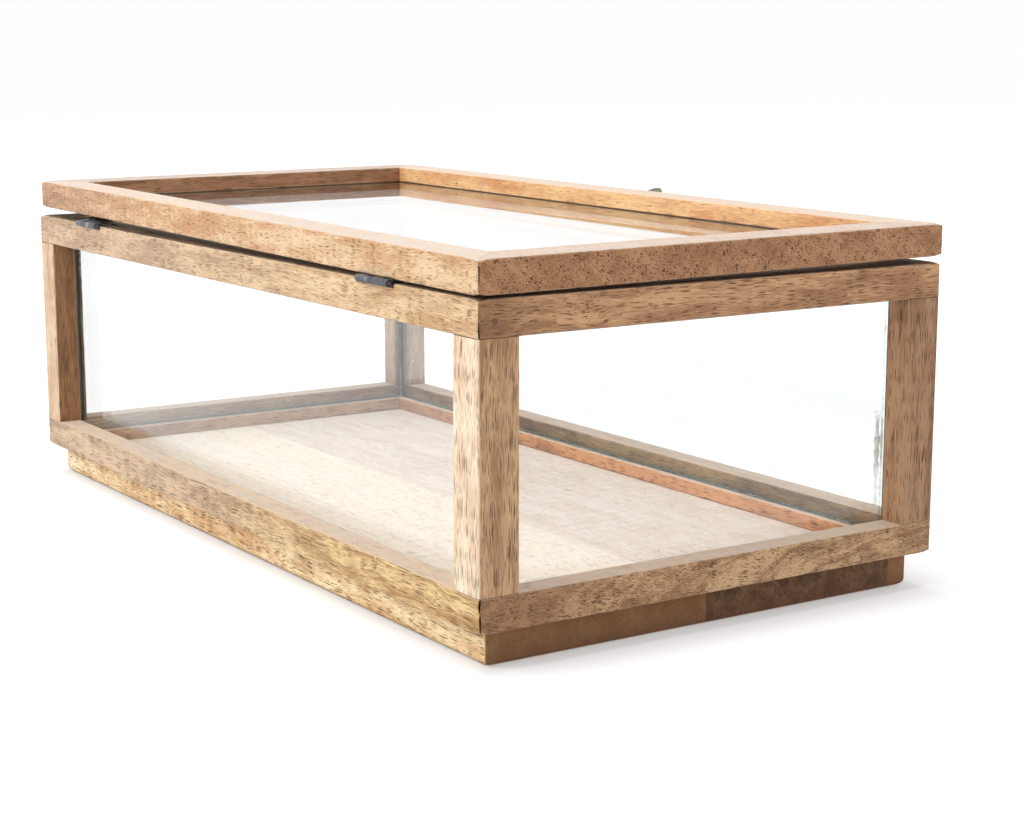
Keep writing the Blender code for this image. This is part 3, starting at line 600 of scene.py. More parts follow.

# %% [markdown]
# No two rails come off the same board. Each has its own tones, its own lean of the grain and its
# own kind of pores: long dashes where the grain lies flat, dots where it dives.

# %% How each rail's timber looks
# the tones for the tops are painted light: a pale painted sheen on the ledges and on the lid, and painted
# shade on the upper rails' tops under the lid
LEDGE_SHEEN = paint(208, 188, 172)
SHADOWED = paint(54, 38, 27)
LID_TOP_SHEEN_TONE = paint(213, 198, 186)
SALMON = paint(232, 166, 122)
INNER_FACE = -HALF_WIDTH + SHOULDER + 0.0015
LOWER_LOOKS = {
    "back": dict(light=paint(232, 200, 144), dark=paint(166, 124, 72), accent=paint(186, 148, 90),
                 curl=0.012, figure=1.1, painted_top_light=LEDGE_SHEEN, porous=0.64, pore_length=0.0120, pore_depth=0.72,
                 stains=[("X", -0.12, 0.06, paint(206, 176, 148), 0.85)]),
    "front": dict(light=paint(196, 154, 104), dark=paint(128, 90, 54), accent=OLIVE, figure=1.2,
                  painted_top_light=paint(236, 212, 196),
                  stains=[("Y", INNER_FACE - 0.0002, INNER_FACE + 0.0002, SALMON, 0.85)]),
    "left": dict(light=paint(220, 178, 134), dark=paint(158, 114, 78), accent=paint(138, 96, 64),
                 tilt=(0.05, 0.22), curl=0.009, figure=1.2, painted_top_light=LEDGE_SHEEN, porous=0.60,
                 pore_length=0.0080, pore_depth=0.80,
                 stains=[("Y", 0.062, 0.092, paint(158, 110, 74), 0.75)]),
    "right": dict(light=HONEY, dark=BROWN, painted_top_light=LEDGE_SHEEN),
}
UPPER_LOOKS = {
    "back": dict(light=paint(226, 196, 154), dark=paint(188, 146, 102), accent=paint(176, 146, 112),
                 curl=0.012, figure=0.8, painted_top_light=SHADOWED, pore_depth=0.66,
                 stains=[("X", -0.14, 0.08, paint(206, 174, 142), 0.80)]),
    "front": dict(light=HONEY, dark=TAN, painted_top_light=SHADOWED),
    "left": dict(light=paint(224, 174, 128), dark=paint(174, 126, 90), accent=paint(146, 100, 66),
                 curl=0.010, painted_top_light=SHADOWED, porous=0.62, pore_length=0.0080, pore_spacing=0.00040,
                 pore_depth=0.85, stains=[("Y", 0.088, 0.112, paint(150, 104, 70), 0.65)]),
    "right": dict(light=TAN, dark=BROWN, painted_top_light=SHADOWED),
}
LID_LOOKS = {
    "back": dict(light=paint(224, 192, 152), dark=paint(190, 144, 100), accent=paint(196, 134, 98),
                 curl=0.014, figure=0.8, dive=0.7, pore_length=0.0056, pore_depth=0.62,
                 painted_top_light=LID_TOP_SHEEN_TONE, stains=[("X", 0.08, 0.22, paint(186, 138, 104), 0.8)]),
    "front": dict(light=paint(224, 182, 130), dark=paint(196, 138, 90), curl=0.008, figure=0.8,
                  porous=0.4, painted_top_light=LID_TOP_SHEEN_TONE),
    "left": dict(light=paint(198, 148, 107), dark=paint(162, 112, 76), accent=paint(142, 98, 68),
                 tilt=(0.60, 0.42), curl=0.006, pore_length=0.0040, pore_spacing=0.00056,
                 pore_depth=0.92, porous=0.62, painted_top_light=LID_TOP_SHEEN_TONE),
    "right": dict(light=BROWN, dark=UMBER, accent=TAN, painted_top_light=LID_TOP_SHEEN_TONE),
}
print("looks for", len(LOWER_LOOKS) + len(UPPER_LOOKS) + len(LID_LOOKS), "rails")

# %% Rails
for number, (side, (x, y)) in enumerate(SIDES.items()):
    is_side = side in ("back", "front")
    grain = "x" if is_side else "y"
    for level, outline, top, seed, looks, free in (
            ("lower", lower_outline, LOWER_TOP, 1, LOWER_LOOKS, [LOWER_BOTTOM]),
            ("upper", upper_outline, UPPER_TOP, 6, UPPER_LOOKS, [UPPER_TOP])):
        wood = wood_finish(f"{level}_rail_wood_{side}", grain, (x, y, top), seed + number, **looks[side])
        nicks = number + (11.3 if level == "lower" else 21.3)
        rail = mitred_rail(f"{level}_frame_{side}", side, outline, STOCK_WIDTH, STOCK_WIDTH, wood,
                           nicks, free)
        finished(rail, "case", "frame_wood", f"{level}_rail_{side}")
    own, other = (LID_SIDE_WIDTH, LID_END_WIDTH) if is_side else (LID_END_WIDTH, LID_SIDE_WIDTH)
    lip = LID_SIDE_LIP if is_side else LID_END_LIP
    lid_outline = [
        (0, LID_BOTTOM), (lip, LID_BOTTOM), (lip, LID_CEILING),
        (own, LID_CEILING), (own, LID_TOP), (0, LID_TOP),
    ]
    wood = wood_finish("lid_wood_" + side, grain, (x, y, LID_TOP), 12 + number, **LID_LOOKS[side])
    rail = mitred_rail("lid_frame_" + side, side, lid_outline, own, other, wood, 31.3 + number,
                       [LID_BOTTOM, LID_TOP], lid_seat)
    finished(rail, "lid", "lid_wood", "lid_rail_" + side)
print("rails made:", 3 * len(SIDES))

# %% [markdown]
# ## Posts
#
# Four square posts hold the upper frame over the lower one, each with a rebate on its inner
# corner for the glass. They are made like the rails, but their outline lies flat and is carried
# upwards, and each end meets a frame, so no mitre is needed.

# %% Posts
# each post's side tones are painted shade on its face towards -X
POST_LOOKS = {
    "back_left": dict(light=paint(246, 226, 200), dark=paint(220, 188, 154), accent=HONEY, curl=0.004,
                      dive=0.2, figure=0.4, pore_depth=0.75, porous=0.60, pore_spacing=0.00038,
                      side=(paint(222, 180, 138), paint(170, 126, 90))),
    "back_right": dict(light=paint(222, 194, 160), dark=HONEY, accent=TAN, curl=0.004, dive=0.2,
                       pore_depth=0.5, side=(paint(158, 114, 78), paint(112, 76, 48))),
    "front_left": dict(light=TAN, dark=BROWN, accent=UMBER, curl=0.006, dive=0.2, figure=0.9, porous=0.62,
                       pore_depth=0.85),
    "front_right": dict(light=HONEY, dark=BROWN, curl=0.005),
}
CORNERS = {"back_left": (-1, 1), "back_right": (1, 1), "front_left": (-1, -1), "front_right": (1, -1)}
post_plan = eased([
    (0, 0), (STOCK_WIDTH, 0), (STOCK_WIDTH, SHOULDER),
    (SHOULDER, SHOULDER), (SHOULDER, STOCK_WIDTH), (0, STOCK_WIDTH),
])
POST_LOW = LOWER_TOP + GLUE_LINE
POST_HIGH = UPPER_BOTTOM - GLUE_LINE
for number, (corner, (sx, sy)) in enumerate(CORNERS.items()):
    rows = []
    stations = int((POST_HIGH - POST_LOW) / STATION_SPACING)
    for k in range(stations + 1):
        z = POST_LOW + (POST_HIGH - POST_LOW) * k / stations
        row = []
        for a, b, mark in post_plan:
            wear = noise.noise(Vector((z * 130, a * 90, b * 90 + number)))
            nick = mark * NICK_DEPTH * max(0.0, wear)
            inward_a = a + nick * (1 if a < STOCK_WIDTH / 2 else -1)
            inward_b = b + nick * (1 if b < STOCK_WIDTH / 2 else -1)
            point = (sx * (HALF_LENGTH - inward_a), sy * (HALF_WIDTH - inward_b), z)
            row.append(rubbed(point, LOWER_BOTTOM, UPPER_TOP))
        rows.append(row)
    centre = (sx * HALF_LENGTH, sy * HALF_WIDTH, 0.08)
    wood = wood_finish("post_wood_" + corner, "z", centre, 20 + number, **POST_LOOKS[corner])
    post = loft("corner_post_" + corner, rows, [p[2] for p in post_plan], wood)
    finished(post, "case", "post_wood", "post_" + corner)
print("posts made:", len(CORNERS))

# %% [markdown]
# ## Base
#
# The base is a board of three staves glued edge to edge. It stands in from the frame, its bottom
# edge is rounded over, and its top is the floor of the case, painted pale as a sheen.

# %% Base staves
BOTTOM_RADIUS = 0.0032          # the rounding along the bottom edge
STAVE_RADIUS = 0.0014           # the upright corners
GLUED_RADIUS = 0.0002           # the same where two staves are glued
CURVE_STEPS = 8
NEARLY = 0.001                  # an edge this close to the board's own is an outer one
TOP_EASE = 0.0002
# the case floor's pale tone is a painted sheen
CASE_FLOOR_SHEEN = paint(248, 236, 227)

STAVE_LOOKS = {
    "back": dict(light=paint(255, 232, 186), dark=paint(216, 170, 116), accent=paint(176, 130, 84),
                 curl=0.010, figure=0.8, porous=0.64, pore_depth=0.85, end_tone=paint(130, 86, 48)),
    "middle": dict(light=HONEY, dark=TAN, accent=BROWN, curl=0.006, end_tone=paint(76, 50, 30)),
    "front": dict(light=RUSSET, dark=TAN, accent=BROWN, curl=0.006, end_tone=paint(162, 116, 80)),
}
stave_boxes = [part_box("base_stave_" + stave) for stave in STAVE_LOOKS]
base_low = Vector([min(low[k] for low, high in stave_boxes) for k in range(3)])
base_high = Vector([max(high[k] for low, high in stave_boxes) for k in range(3)])
print("base is", round(base_high.x - base_low.x, 4), "by", round(base_high.y - base_low.y, 4))


def stave_loop(low_y, high_y, z, inset):
    """A stave's outline at height z; its ends and its outer edges draw in by inset."""
    outer_low = low_y < base_low.y + NEARLY
    outer_high = high_y > base_high.y - NEARLY
    loop = []
    for quarter, (sx, sy) in enumerate([(1, 1), (-1, 1), (-1, -1), (1, -1)]):
        outer = outer_high if sy > 0 else outer_low
        edge_x = base_high.x - inset if sx > 0 else base_low.x + inset
        edge_y = (high_y if sy > 0 else low_y) - sy * (inset if outer else 0)
        radius = STAVE_RADIUS if outer else GLUED_RADIUS
        for k in range(4):
            angle = QUARTER * (quarter + k / 3)
            x = edge_x - sx * radius + radius * math.cos(angle)
            loop.append((x, edge_y - sy * radius + radius * math.sin(angle), z))
    return loop


for number, (stave, looks) in enumerate(STAVE_LOOKS.items()):
    low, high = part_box("base_stave_" + stave)
    tuck = (JOINT_GAP - GLUE_LINE) / 2
    low.y -= tuck if low.y > base_low.y + NEARLY else 0.0
    high.y += tuck if high.y < base_high.y - NEARLY else 0.0
    rows = [stave_loop(low.y, high.y, 0.0, BOTTOM_RADIUS)]
    for k in range(1, CURVE_STEPS + 1):
        angle = QUARTER * k / CURVE_STEPS
        inset = BOTTOM_RADIUS * (1 - math.sin(angle))
        rows.append(stave_loop(low.y, high.y, BOTTOM_RADIUS * (1 - math.cos(angle)), inset))
    rows.append(stave_loop(low.y, high.y, high.z - TOP_EASE, 0.0))
    rows.append(stave_loop(low.y, high.y, high.z, 0.00012))
    wood = wood_finish("base_wood_" + stave, "x", (low + high) / 2, 30 + number, painted_top_light=CASE_FLOOR_SHEEN, **looks)
    board = loft("base_board_" + stave, rows, [0.0] * len(rows[0]), wood)
    finished(board, "case", "base_wood", "base_stave_" + stave)
print("staves made:", len(STAVE_LOOKS))

# %% [markdown]
# ## Glass
#
# Window glass is clear when it is looked at straight and a mirror when it is looked at along its
# surface. A see-through shader and a mirror shader, blended by Fresnel's rule, do that, and they
# let the light into the case without darkening it. Float glass is faintly green in its thickness,
# which shows at the edges, so the edge faces have a finish of their own.

# %% Glass finishes
def clear_glass():
    glass = Finish("clear_glass")
    see_through = glass.node("ShaderNodeBsdfTransparent", None, {"Color": (0.975, 0.985, 0.985, 1.0)})
    mirror = glass.node("ShaderNodeBsdfGlossy", None, {"Color": (1, 1, 1, 1), "Roughness": 0.02})
    facing = glass.node("ShaderNodeLayerWeight", None, {"Blend": 0.5}, out="Facing")
    shine = facing ** 5 * 0.96 + 0.04
    clean = glass.node("ShaderNodeMixShader", None, {0: shine, 1: see_through, 2: mirror})
    specks = glass.cells(glass.scaled(90))
    chance = glass.split(specks.output("Color"))
    dust = ((0.055 - specks) * 40.0).clamped() * (chance - 0.55).between(0.0, 0.1)
    white = glass.node("ShaderNodeBsdfDiffuse", None, {"Color": (0.9, 0.9, 0.88, 1.0)})
    return glass.surface(glass.node("ShaderNodeMixShader", None, {0: dust * 0.4, 1: clean, 2: white}))


def green_edge():
    glass = Finish("glass_edge")
    colour = glass.mix(glass.noise(glass.scaled(60)), paint(22, 34, 42), paint(90, 118, 108))
    return glass.surface(glass.solid({"Base Color": colour, "Roughness": 0.12}))


# %% Panes
GLASS = clear_glass()
GREEN_EDGE = green_edge()
PANE_SEAM = 0.0003              # how much is ground off each sharp edge


def sheet_of_glass(name, low, high, seat=None):
    """A pane with its sharp edges ground off; the rim takes the green finish."""
    shape = bmesh.new()
    bmesh.ops.create_cube(shape, size=1.0)
    size = high - low
    middle = (high + low) / 2
    for vert in shape.verts:
        vert.co = Vector([middle[k] + vert.co[k] * size[k] for k in range(3)])
    bmesh.ops.bevel(shape, geom=shape.edges[:], offset=PANE_SEAM, segments=1, affect="EDGES")
    thin = min(range(3), key=lambda k: size[k])
    for face in shape.faces:
        face.material_index = 0 if abs(face.normal[thin]) > 0.9 else 1
    if seat:
        for vert in shape.verts:
            vert.co = seat(vert.co)
    bmesh.ops.recalc_face_normals(shape, faces=shape.faces)
    mesh = bpy.data.meshes.new(name)
    shape.to_mesh(mesh)
    shape.free()
    mesh.materials.append(GLASS)
    mesh.materials.append(GREEN_EDGE)
    return add_object(name, mesh)


for side in SIDES:
    pane = sheet_of_glass("window_" + side, *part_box("pane_" + side))
    finished(pane, "case", "clear_glass", "pane_" + side)
lid_pane = sheet_of_glass("window_lid", *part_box("lid_glass"), lid_seat)
finished(lid_pane, "lid", "clear_glass", "lid_glass")
print("panes made:", len(SIDES) + 1)

# %% [markdown]
# ## Silicone
#
# The panes are held from inside by a bead of clear silicone, run round by hand. It swells,
# thins and drips. A bead follows a path, which is work for Geometry Nodes: the path becomes a
# curve, noise sets the curve's radius from place to place, and a small circle is swept along it.


# %% One class for Geometry Nodes
class Tree:
    """A Geometry Nodes tree with named inputs, and one method for every node in it."""

    def __init__(self, name, inputs):
        self.group = bpy.data.node_groups.new(name, "GeometryNodeTree")
        sockets = self.group.interface
        sockets.new_socket("Geometry", in_out="INPUT", socket_type="NodeSocketGeometry")
        for label, kind, value in inputs:
            socket = sockets.new_socket(label, in_out="INPUT", socket_type="NodeSocket" + kind)
            if value is not None:
                socket.default_value = value
        sockets.new_socket("Geometry", in_out="OUTPUT", socket_type="NodeSocketGeometry")
        self.start = self.node("NodeGroupInput").outputs

    def node(self, kind, settings=None, inputs=None):
        """One node: its settings first, then its sockets' values or links."""
        made = self.group.nodes.new(kind)
        for key, value in (settings or {}).items():
            setattr(made, key, value)
        for key, value in (inputs or {}).items():
            if isinstance(value, bpy.types.NodeSocket):
                self.group.links.new(value, made.inputs[key])
            else:
                made.inputs[key].default_value = value
        return made

    def math(self, operation, first, second):
        return self.node("ShaderNodeMath", {"operation": operation}, {0: first, 1: second}).outputs[0]

    def vector(self, x, y, z):
        return self.node("ShaderNodeCombineXYZ", None, {0: x, 1: y, 2: z}).outputs[0]

    def end(self, geometry):
        """Make instances real, and give the result the finish that the tree was handed."""
        real = self.node("GeometryNodeRealizeInstances", None, {"Geometry": geometry})
        inputs = {"Geometry": real.outputs["Geometry"], "Material": self.start["Finish"]}
        dressed = self.node("GeometryNodeSetMaterial", None, inputs)
        self.node("NodeGroupOutput", None, {"Geometry": dressed.outputs["Geometry"]})


# %% Run a tree on a source
def run_tree(name, source, tree, values):
    """Run a tree on an object, setting inputs by identifier, and keep the plain mesh."""
    modifier = source.modifiers.new("nodes", "NODES")
    modifier.node_group = tree.group
    for item in tree.group.interface.items_tree:
        if item.in_out == "INPUT" and item.name in values:
            modifier[item.identifier] = values[item.name]
    mesh = evaluated_mesh(source)
    mesh.name = name
    bpy.data.objects.remove(source)
    print(name, "has", len(mesh.polygons), "faces")
    return add_object(name, mesh)


def evaluated_mesh(piece):
    """A plain mesh of a piece as its modifiers leave it."""
    bpy.context.view_layer.update()
    evaluated = piece.evaluated_get(bpy.context.evaluated_depsgraph_get())
    return bpy.data.meshes.new_from_object(evaluated)


def loose_points(name, points, edges=()):
    """A source for a tree: points, joined by edges where a path is wanted."""
    mesh = bpy.data.meshes.new(name)
    mesh.from_pydata([tuple(point) for point in points], list(edges), [])
    return add_object(name, mesh)


def straight_runs(name, runs):
    """A path of separate straight runs, each between its own two points."""
    points = [point for run in runs for point in run]
    return loose_points(name, points, [(k, k + 1) for k in range(0, len(points), 2)])


# %% The bead's tree
BEAD_SPACING = 0.0007           # the length of path from one ring of the bead to the next
LUMP_SCALE = 260.0

bead = Tree("silicone_bead", [
    ("Radius", "Float", 0.001), ("Lumpiness", "Float", 0.5), ("Seed", "Float", 0.0),
    ("Finish", "Material", None),
])
path = bead.node("GeometryNodeMeshToCurve", None, {"Mesh": bead.start["Geometry"]})
path = bead.node("GeometryNodeResampleCurve", {"mode": "LENGTH"}, {
    "Curve": path.outputs["Curve"], "Length": BEAD_SPACING,
})
lumps = bead.node("ShaderNodeTexNoise", {"noise_dimensions": "4D"}, {
    "Scale": LUMP_SCALE, "Detail": 3.0, "W": bead.start["Seed"],
})
thinnest = bead.math("SUBTRACT", 1.0, bead.start["Lumpiness"])
swell = bead.node("ShaderNodeMapRange", None, {
    "Value": lumps.outputs[0], "From Min": 0.3, "From Max": 0.75, "To Min": thinnest,
})
radius = bead.math("MULTIPLY", swell.outputs[0], bead.start["Radius"])
ring = bead.node("GeometryNodeCurvePrimitiveCircle", None, {"Resolution": 8, "Radius": 1.0})
swept = bead.node("GeometryNodeCurveToMesh", None, {
    "Curve": path.outputs["Curve"], "Profile Curve": ring.outputs["Curve"], "Scale": radius,
    "Fill Caps": True,
})
smooth = bead.node("GeometryNodeSetShadeSmooth", None, {"Geometry": swept.outputs["Mesh"]})
bead.end(smooth.outputs["Geometry"])
print("the bead's tree has", len(bead.group.nodes), "nodes")


# %% Silicone finish
def silicone_finish():
    """Clear gum with milky patches, cloudier in its upright runs than along the bottom."""
    gum = Finish("clear_silicone")
    milk = gum.noise(gum.scaled(500), 3.0)
    colour = gum.mix(milk.between(0.35, 0.65), paint(176, 178, 168), paint(244, 244, 238))
    body = gum.solid({"Base Color": colour, "Roughness": 0.18, "Normal": gum.bump(milk, 0.0002)})
    clear = gum.node("ShaderNodeBsdfTransparent", None, {"Color": (0.975, 0.982, 0.975, 1.0)})
    drift = gum.noise(gum.scaled(38), 2.0)
    upright = gum.split(gum.place()).output("Z").between(0.030, 0.042)
    cloudy = drift.between(0.48, 0.64) * (0.08 + upright * 0.35) + milk.between(0.35, 0.6) * 0.09 + 0.02
    return gum.surface(gum.node("ShaderNodeMixShader", None, {0: cloudy.clamped(), 1: clear, 2: body}))


SILICONE = silicone_finish()


# %% Beads round the panes
BEAD_RADIUS = 0.0008
BEAD_SEAT = 1.25 * BEAD_RADIUS  # how far the bead's middle stands off the glass and the wood


def lay_bead(name, runs, body, radius, lumpiness, seed, *nodes):
    """Run a bead of silicone along straight runs."""
    values = {"Radius": radius, "Lumpiness": lumpiness, "Seed": seed, "Finish": SILICONE}
    made = run_tree(name, straight_runs(name + "_path", runs), bead, values)
    finished(made, body, "clear_silicone", *nodes)


bead_x = HALF_LENGTH - GLASS_INNER - BEAD_SEAT
bead_y = HALF_WIDTH - GLASS_INNER - BEAD_SEAT
bead_low = REBATE_FLOOR + BEAD_SEAT
bead_high = REBATE_CEILING - BEAD_SEAT
low_ring = [(sx * bead_x, sy * bead_y, bead_low) for sx, sy in TURNS]
high_ring = [(sx * bead_x, sy * bead_y, bead_high) for sx, sy in TURNS]
case_runs = [(ring[k], ring[(k + 1) % 4]) for ring in (low_ring, high_ring) for k in range(4)]
case_runs += list(zip(low_ring, high_ring))
lay_bead("silicone_beads", case_runs, "case", BEAD_RADIUS, 0.75, 3.0, "case_silicone")

# %% A drip down the front left corner and a smear on the left ledge
DRIP_INSET = 0.0014
DRIP_RADIUS = 0.0019

drip_x = -bead_x + DRIP_INSET
drip_y = -bead_y + DRIP_INSET
drip = ((drip_x, drip_y, 0.036), (drip_x, drip_y, 0.079))
smear_x = -HALF_LENGTH + SHOULDER - 0.0007
smear = ((smear_x, 0.077, LOWER_TOP), (smear_x, 0.090, LOWER_TOP))
lay_bead("silicone_drips", [drip, smear], "case", DRIP_RADIUS, 0.9, 5.0)

# %% The lid's bead
LID_BEAD_INSET = 0.0010

low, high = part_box("lid_silicone")
lid_x = high.x - LID_BEAD_INSET
lid_y = high.y - LID_BEAD_INSET
lid_ring = [lid_seat((sx * lid_x, sy * lid_y, (low.z + high.z) / 2)) for sx, sy in TURNS]
lid_runs = [(lid_ring[k], lid_ring[(k + 1) % 4]) for k in range(4)]
lay_bead("silicone_bead_lid", lid_runs, "lid", BEAD_RADIUS, 0.5, 8.0, "lid_silicone")

# %% [markdown]
# ## Metal
#
# The hinges are blued steel gone dull and the hasp is brass with a green-brown patina. Both wear
# unevenly, so one function blends a deep and a bright tone by a coarse and a fine noise, and the
# brighter patches are smoother too. The plain solids of the frame have the right shapes already.
# They only need their loose triangles welded and their round faces shaded softly.


# %% Metal finishes
def worn_metal(name, deep, bright, wear_scale, roughness, metallic):
    metal = Finish(name)
    blotch = metal.noise(metal.scaled(wear_scale), 4.0)
    grit = metal.noise(metal.scaled(2600), 2.0)
    wear = (blotch * 0.7 + grit * 0.3).between(0.48, 0.62)
    colour = metal.mix(wear, deep, bright)
    inputs = {
        "Base Color": colour, "Metallic": metallic, "Roughness": roughness - wear * 0.12 + grit * 0.1,
        "Normal": metal.bump(grit * 0.5 + blotch * 0.5, 0.00006),
    }
    return metal.surface(metal.solid(inputs))


HINGE_STEEL = worn_metal("hinge_steel", paint(76, 78, 83), paint(120, 122, 127), 160, 0.40, 0.75)
SCREW_STEEL = worn_metal("screw_steel", paint(120, 122, 126), paint(180, 182, 186), 700, 0.34, 1.0)
AGED_BRASS = worn_metal("aged_brass", paint(96, 100, 76), paint(134, 130, 92), 240, 0.38, 0.85)
print("metals made: 3")


# %% Hinges and hasp from the frame's own solids
WELD_DISTANCE = 0.000002
METAL_SMOOTH_ANGLE = 32


def refined(name, node, finish, bend=None):
    """A welded, softly shaded copy of a solid, bent if asked."""
    shape = bmesh.new()
    shape.from_mesh(frame["nodes"][node].data)
    bmesh.ops.remove_doubles(shape, verts=shape.verts, dist=WELD_DISTANCE)
    bmesh.ops.dissolve_limit(shape, angle_limit=math.radians(1.0), verts=shape.verts, edges=shape.edges)
    if bend:
        for vert in shape.verts:
            vert.co = bend(vert.co)
    bmesh.ops.recalc_face_normals(shape, faces=shape.faces)
    mesh = bpy.data.meshes.new(name)
    shape.to_mesh(mesh)
    shape.free()
    mesh.materials.append(finish)
    mesh.shade_smooth()
    mesh.set_sharp_from_angle(angle=math.radians(METAL_SMOOTH_ANGLE))
    return add_object(name, mesh)


joint_at = {joint["name"]: Vector(joint["pos_m"]) for joint in frame["joints"]}
hinge_axis = joint_at["lid_hinge"]
BARREL_REACH = 0.0018           # a leaf stays straight this far from the pin
BEND_LENGTH = 0.0035


def leaf_bend(point):
    """The lid's leaf is bent up or down to the lid once it has left the barrel."""
    away = max(hinge_axis.y - point.y - BARREL_REACH, 0.0)
    share = min(away / BEND_LENGTH, 1.0)
    share = share * share * (3 - 2 * share)
    return Vector((point.x, point.y, point.z + share * (lid_seat(point).z - point.z)))


hinge_pieces = (
    ("lower_leaf", "case_leaf", "case", HINGE_STEEL, None),
    ("upper_leaf", "lid_leaf", "lid", HINGE_STEEL, leaf_bend),
    ("rod", "pin", "case", SCREW_STEEL, None),
)
for label in ("left", "right"):
    for piece, node, body, metal, bend in hinge_pieces:
        made = refined(f"hinge_{label}_{piece}", f"hinge_{label}_{node}", metal, bend)
        finished(made, body, "hinge_steel", f"hinge_{label}_{node}")
latch_pieces = (
    ("latch_plate", "hasp_plate", "lid"), ("latch_pin", "hasp_pin", "lid"),
    ("latch_strap", "hasp_strap", "hasp"), ("latch_staple", "staple", "case"),
)
for piece, node, body in latch_pieces:
    finished(refined(piece, node, AGED_BRASS), body, "aged_brass", node)
print("hinge and latch pieces made:", 2 * len(hinge_pieces) + len(latch_pieces))

# %% [markdown]
# ## Screws, nails and plugs
#
# Fasteners are all one shape set in many places, so a tree makes one and sets it on every point:
# a countersunk head, its slot, and a shank. `aim` on each point is the way the screw goes in, and
# each screw stops at its own angle. Nails and plugs are the same shape with no slot.

# %% The fastener's tree
fastener = Tree("fastener", [
    ("Head Radius", "Float", 0.0018), ("Head Height", "Float", 0.0010), ("Shank Radius", "Float", 0.0009),
    ("Length", "Float", 0.0085), ("Slot Width", "Float", 0.0005), ("Seed", "Int", 0),
    ("Finish", "Material", None),
])
sizes = fastener.start
down = fastener.math("MULTIPLY", sizes["Head Height"], -1.0)
head = fastener.node("GeometryNodeMeshCone", None, {
    "Vertices": 28, "Side Segments": 2, "Radius Top": sizes["Head Radius"],
    "Radius Bottom": sizes["Shank Radius"], "Depth": sizes["Head Height"],
})
head = fastener.node("GeometryNodeTransform", None, {
    "Geometry": head.outputs["Mesh"], "Translation": fastener.vector(0.0, 0.0, down),
})
slot_length = fastener.math("MULTIPLY", sizes["Head Radius"], 3.0)
slot = fastener.node("GeometryNodeMeshCube", None, {
    "Size": fastener.vector(slot_length, sizes["Slot Width"], sizes["Head Height"]),
})
slotted = fastener.node("GeometryNodeMeshBoolean", {"operation": "DIFFERENCE"}, {
    "Mesh 1": head.outputs["Geometry"], "Mesh 2": slot.outputs["Mesh"],
})
top_end = fastener.node("GeometryNodeSwitch", {"input_type": "GEOMETRY"}, {
    "Switch": fastener.math("GREATER_THAN", sizes["Slot Width"], 0.0),
    "False": head.outputs["Geometry"], "True": slotted.outputs["Mesh"],
})
shank = fastener.node("GeometryNodeMeshCylinder", None, {
    "Vertices": 16, "Radius": sizes["Shank Radius"], "Depth": sizes["Length"],
})
shank_at = fastener.math("ADD", fastener.math("MULTIPLY", sizes["Length"], -0.5), down)
shank = fastener.node("GeometryNodeTransform", None, {
    "Geometry": shank.outputs["Mesh"], "Translation": fastener.vector(0.0, 0.0, shank_at),
})
whole = fastener.node("GeometryNodeJoinGeometry", None, {"Geometry": shank.outputs["Geometry"]})
fastener.group.links.new(top_end.outputs["Output"], whole.inputs["Geometry"])

# %% Set one on every point, aimed and turned
aim = fastener.node("GeometryNodeInputNamedAttribute", {"data_type": "FLOAT_VECTOR"}, {"Name": "aim"})
back_out = fastener.node("ShaderNodeVectorMath", {"operation": "SCALE"}, {
    0: aim.outputs["Attribute"], "Scale": -1.0,
})
upright = fastener.node("FunctionNodeAlignRotationToVector", {"axis": "Z"}, {"Vector": back_out.outputs[0]})
spin = fastener.node("FunctionNodeRandomValue", {"data_type": "FLOAT"}, {3: math.pi, "Seed": sizes["Seed"]})
spun = fastener.node("FunctionNodeEulerToRotation", None, {
    "Euler": fastener.vector(0.0, 0.0, spin.outputs[1]),
})
turned = fastener.node("FunctionNodeRotateRotation", {"rotation_space": "LOCAL"}, {
    "Rotation": upright.outputs[0], "Rotate By": spun.outputs[0],
})
placed = fastener.node("GeometryNodeInstanceOnPoints", None, {
    "Points": sizes["Geometry"], "Instance": whole.outputs["Geometry"], "Rotation": turned.outputs[0],
})
fastener.end(placed.outputs["Instances"])
print("the fastener's tree has", len(fastener.group.nodes), "nodes")


# %% Set the fasteners in place
def fastener_size(radius, head, shank, length, slot_width=0.0):
    """A kind of fastener, as values for the tree's inputs."""
    return {
        "Head Radius": radius, "Head Height": head, "Shank Radius": shank, "Length": length,
        "Slot Width": slot_width,
    }


HINGE_SCREW = fastener_size(0.0018, 0.0010, 0.0008, 0.0070, 0.0005)
BASE_SCREW = fastener_size(0.0030, 0.0022, 0.0013, 0.0150, 0.0008)
LATCH_NAIL = fastener_size(0.0010, 0.0004, 0.0005, 0.0060)


def set_fasteners(name, spots, finish, size, seed):
    """spots pairs a point on the head's face with the way the shank goes."""
    source = loose_points(name + "_points", [spot for spot, way in spots])
    aims = source.data.attributes.new("aim", "FLOAT_VECTOR", "POINT")
    aims.data.foreach_set("vector", [number for spot, way in spots for number in way])
    return run_tree(name, source, fastener, {**size, "Seed": seed, "Finish": finish})


def spots_of(nodes, axis, way, seat=None):
    """The middle of each fastener's head, on the side that its shank points away from."""
    spots = []
    for node in nodes:
        low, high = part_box(node)
        spot = (low + high) / 2
        spot[axis] = low[axis] if way > 0 else high[axis]
        aim = [0.0, 0.0, 0.0]
        aim[axis] = float(way)
        spots.append((seat(spot) if seat else spot, aim))
    return spots


def lid_lift_only(point):
    """The lid's leaves rise with the lid but don't slide with it."""
    return Vector((point[0], point[1], lid_seat(point).z))


def nodes_with(word):
    return [name for name in frame["nodes"] if word in name]


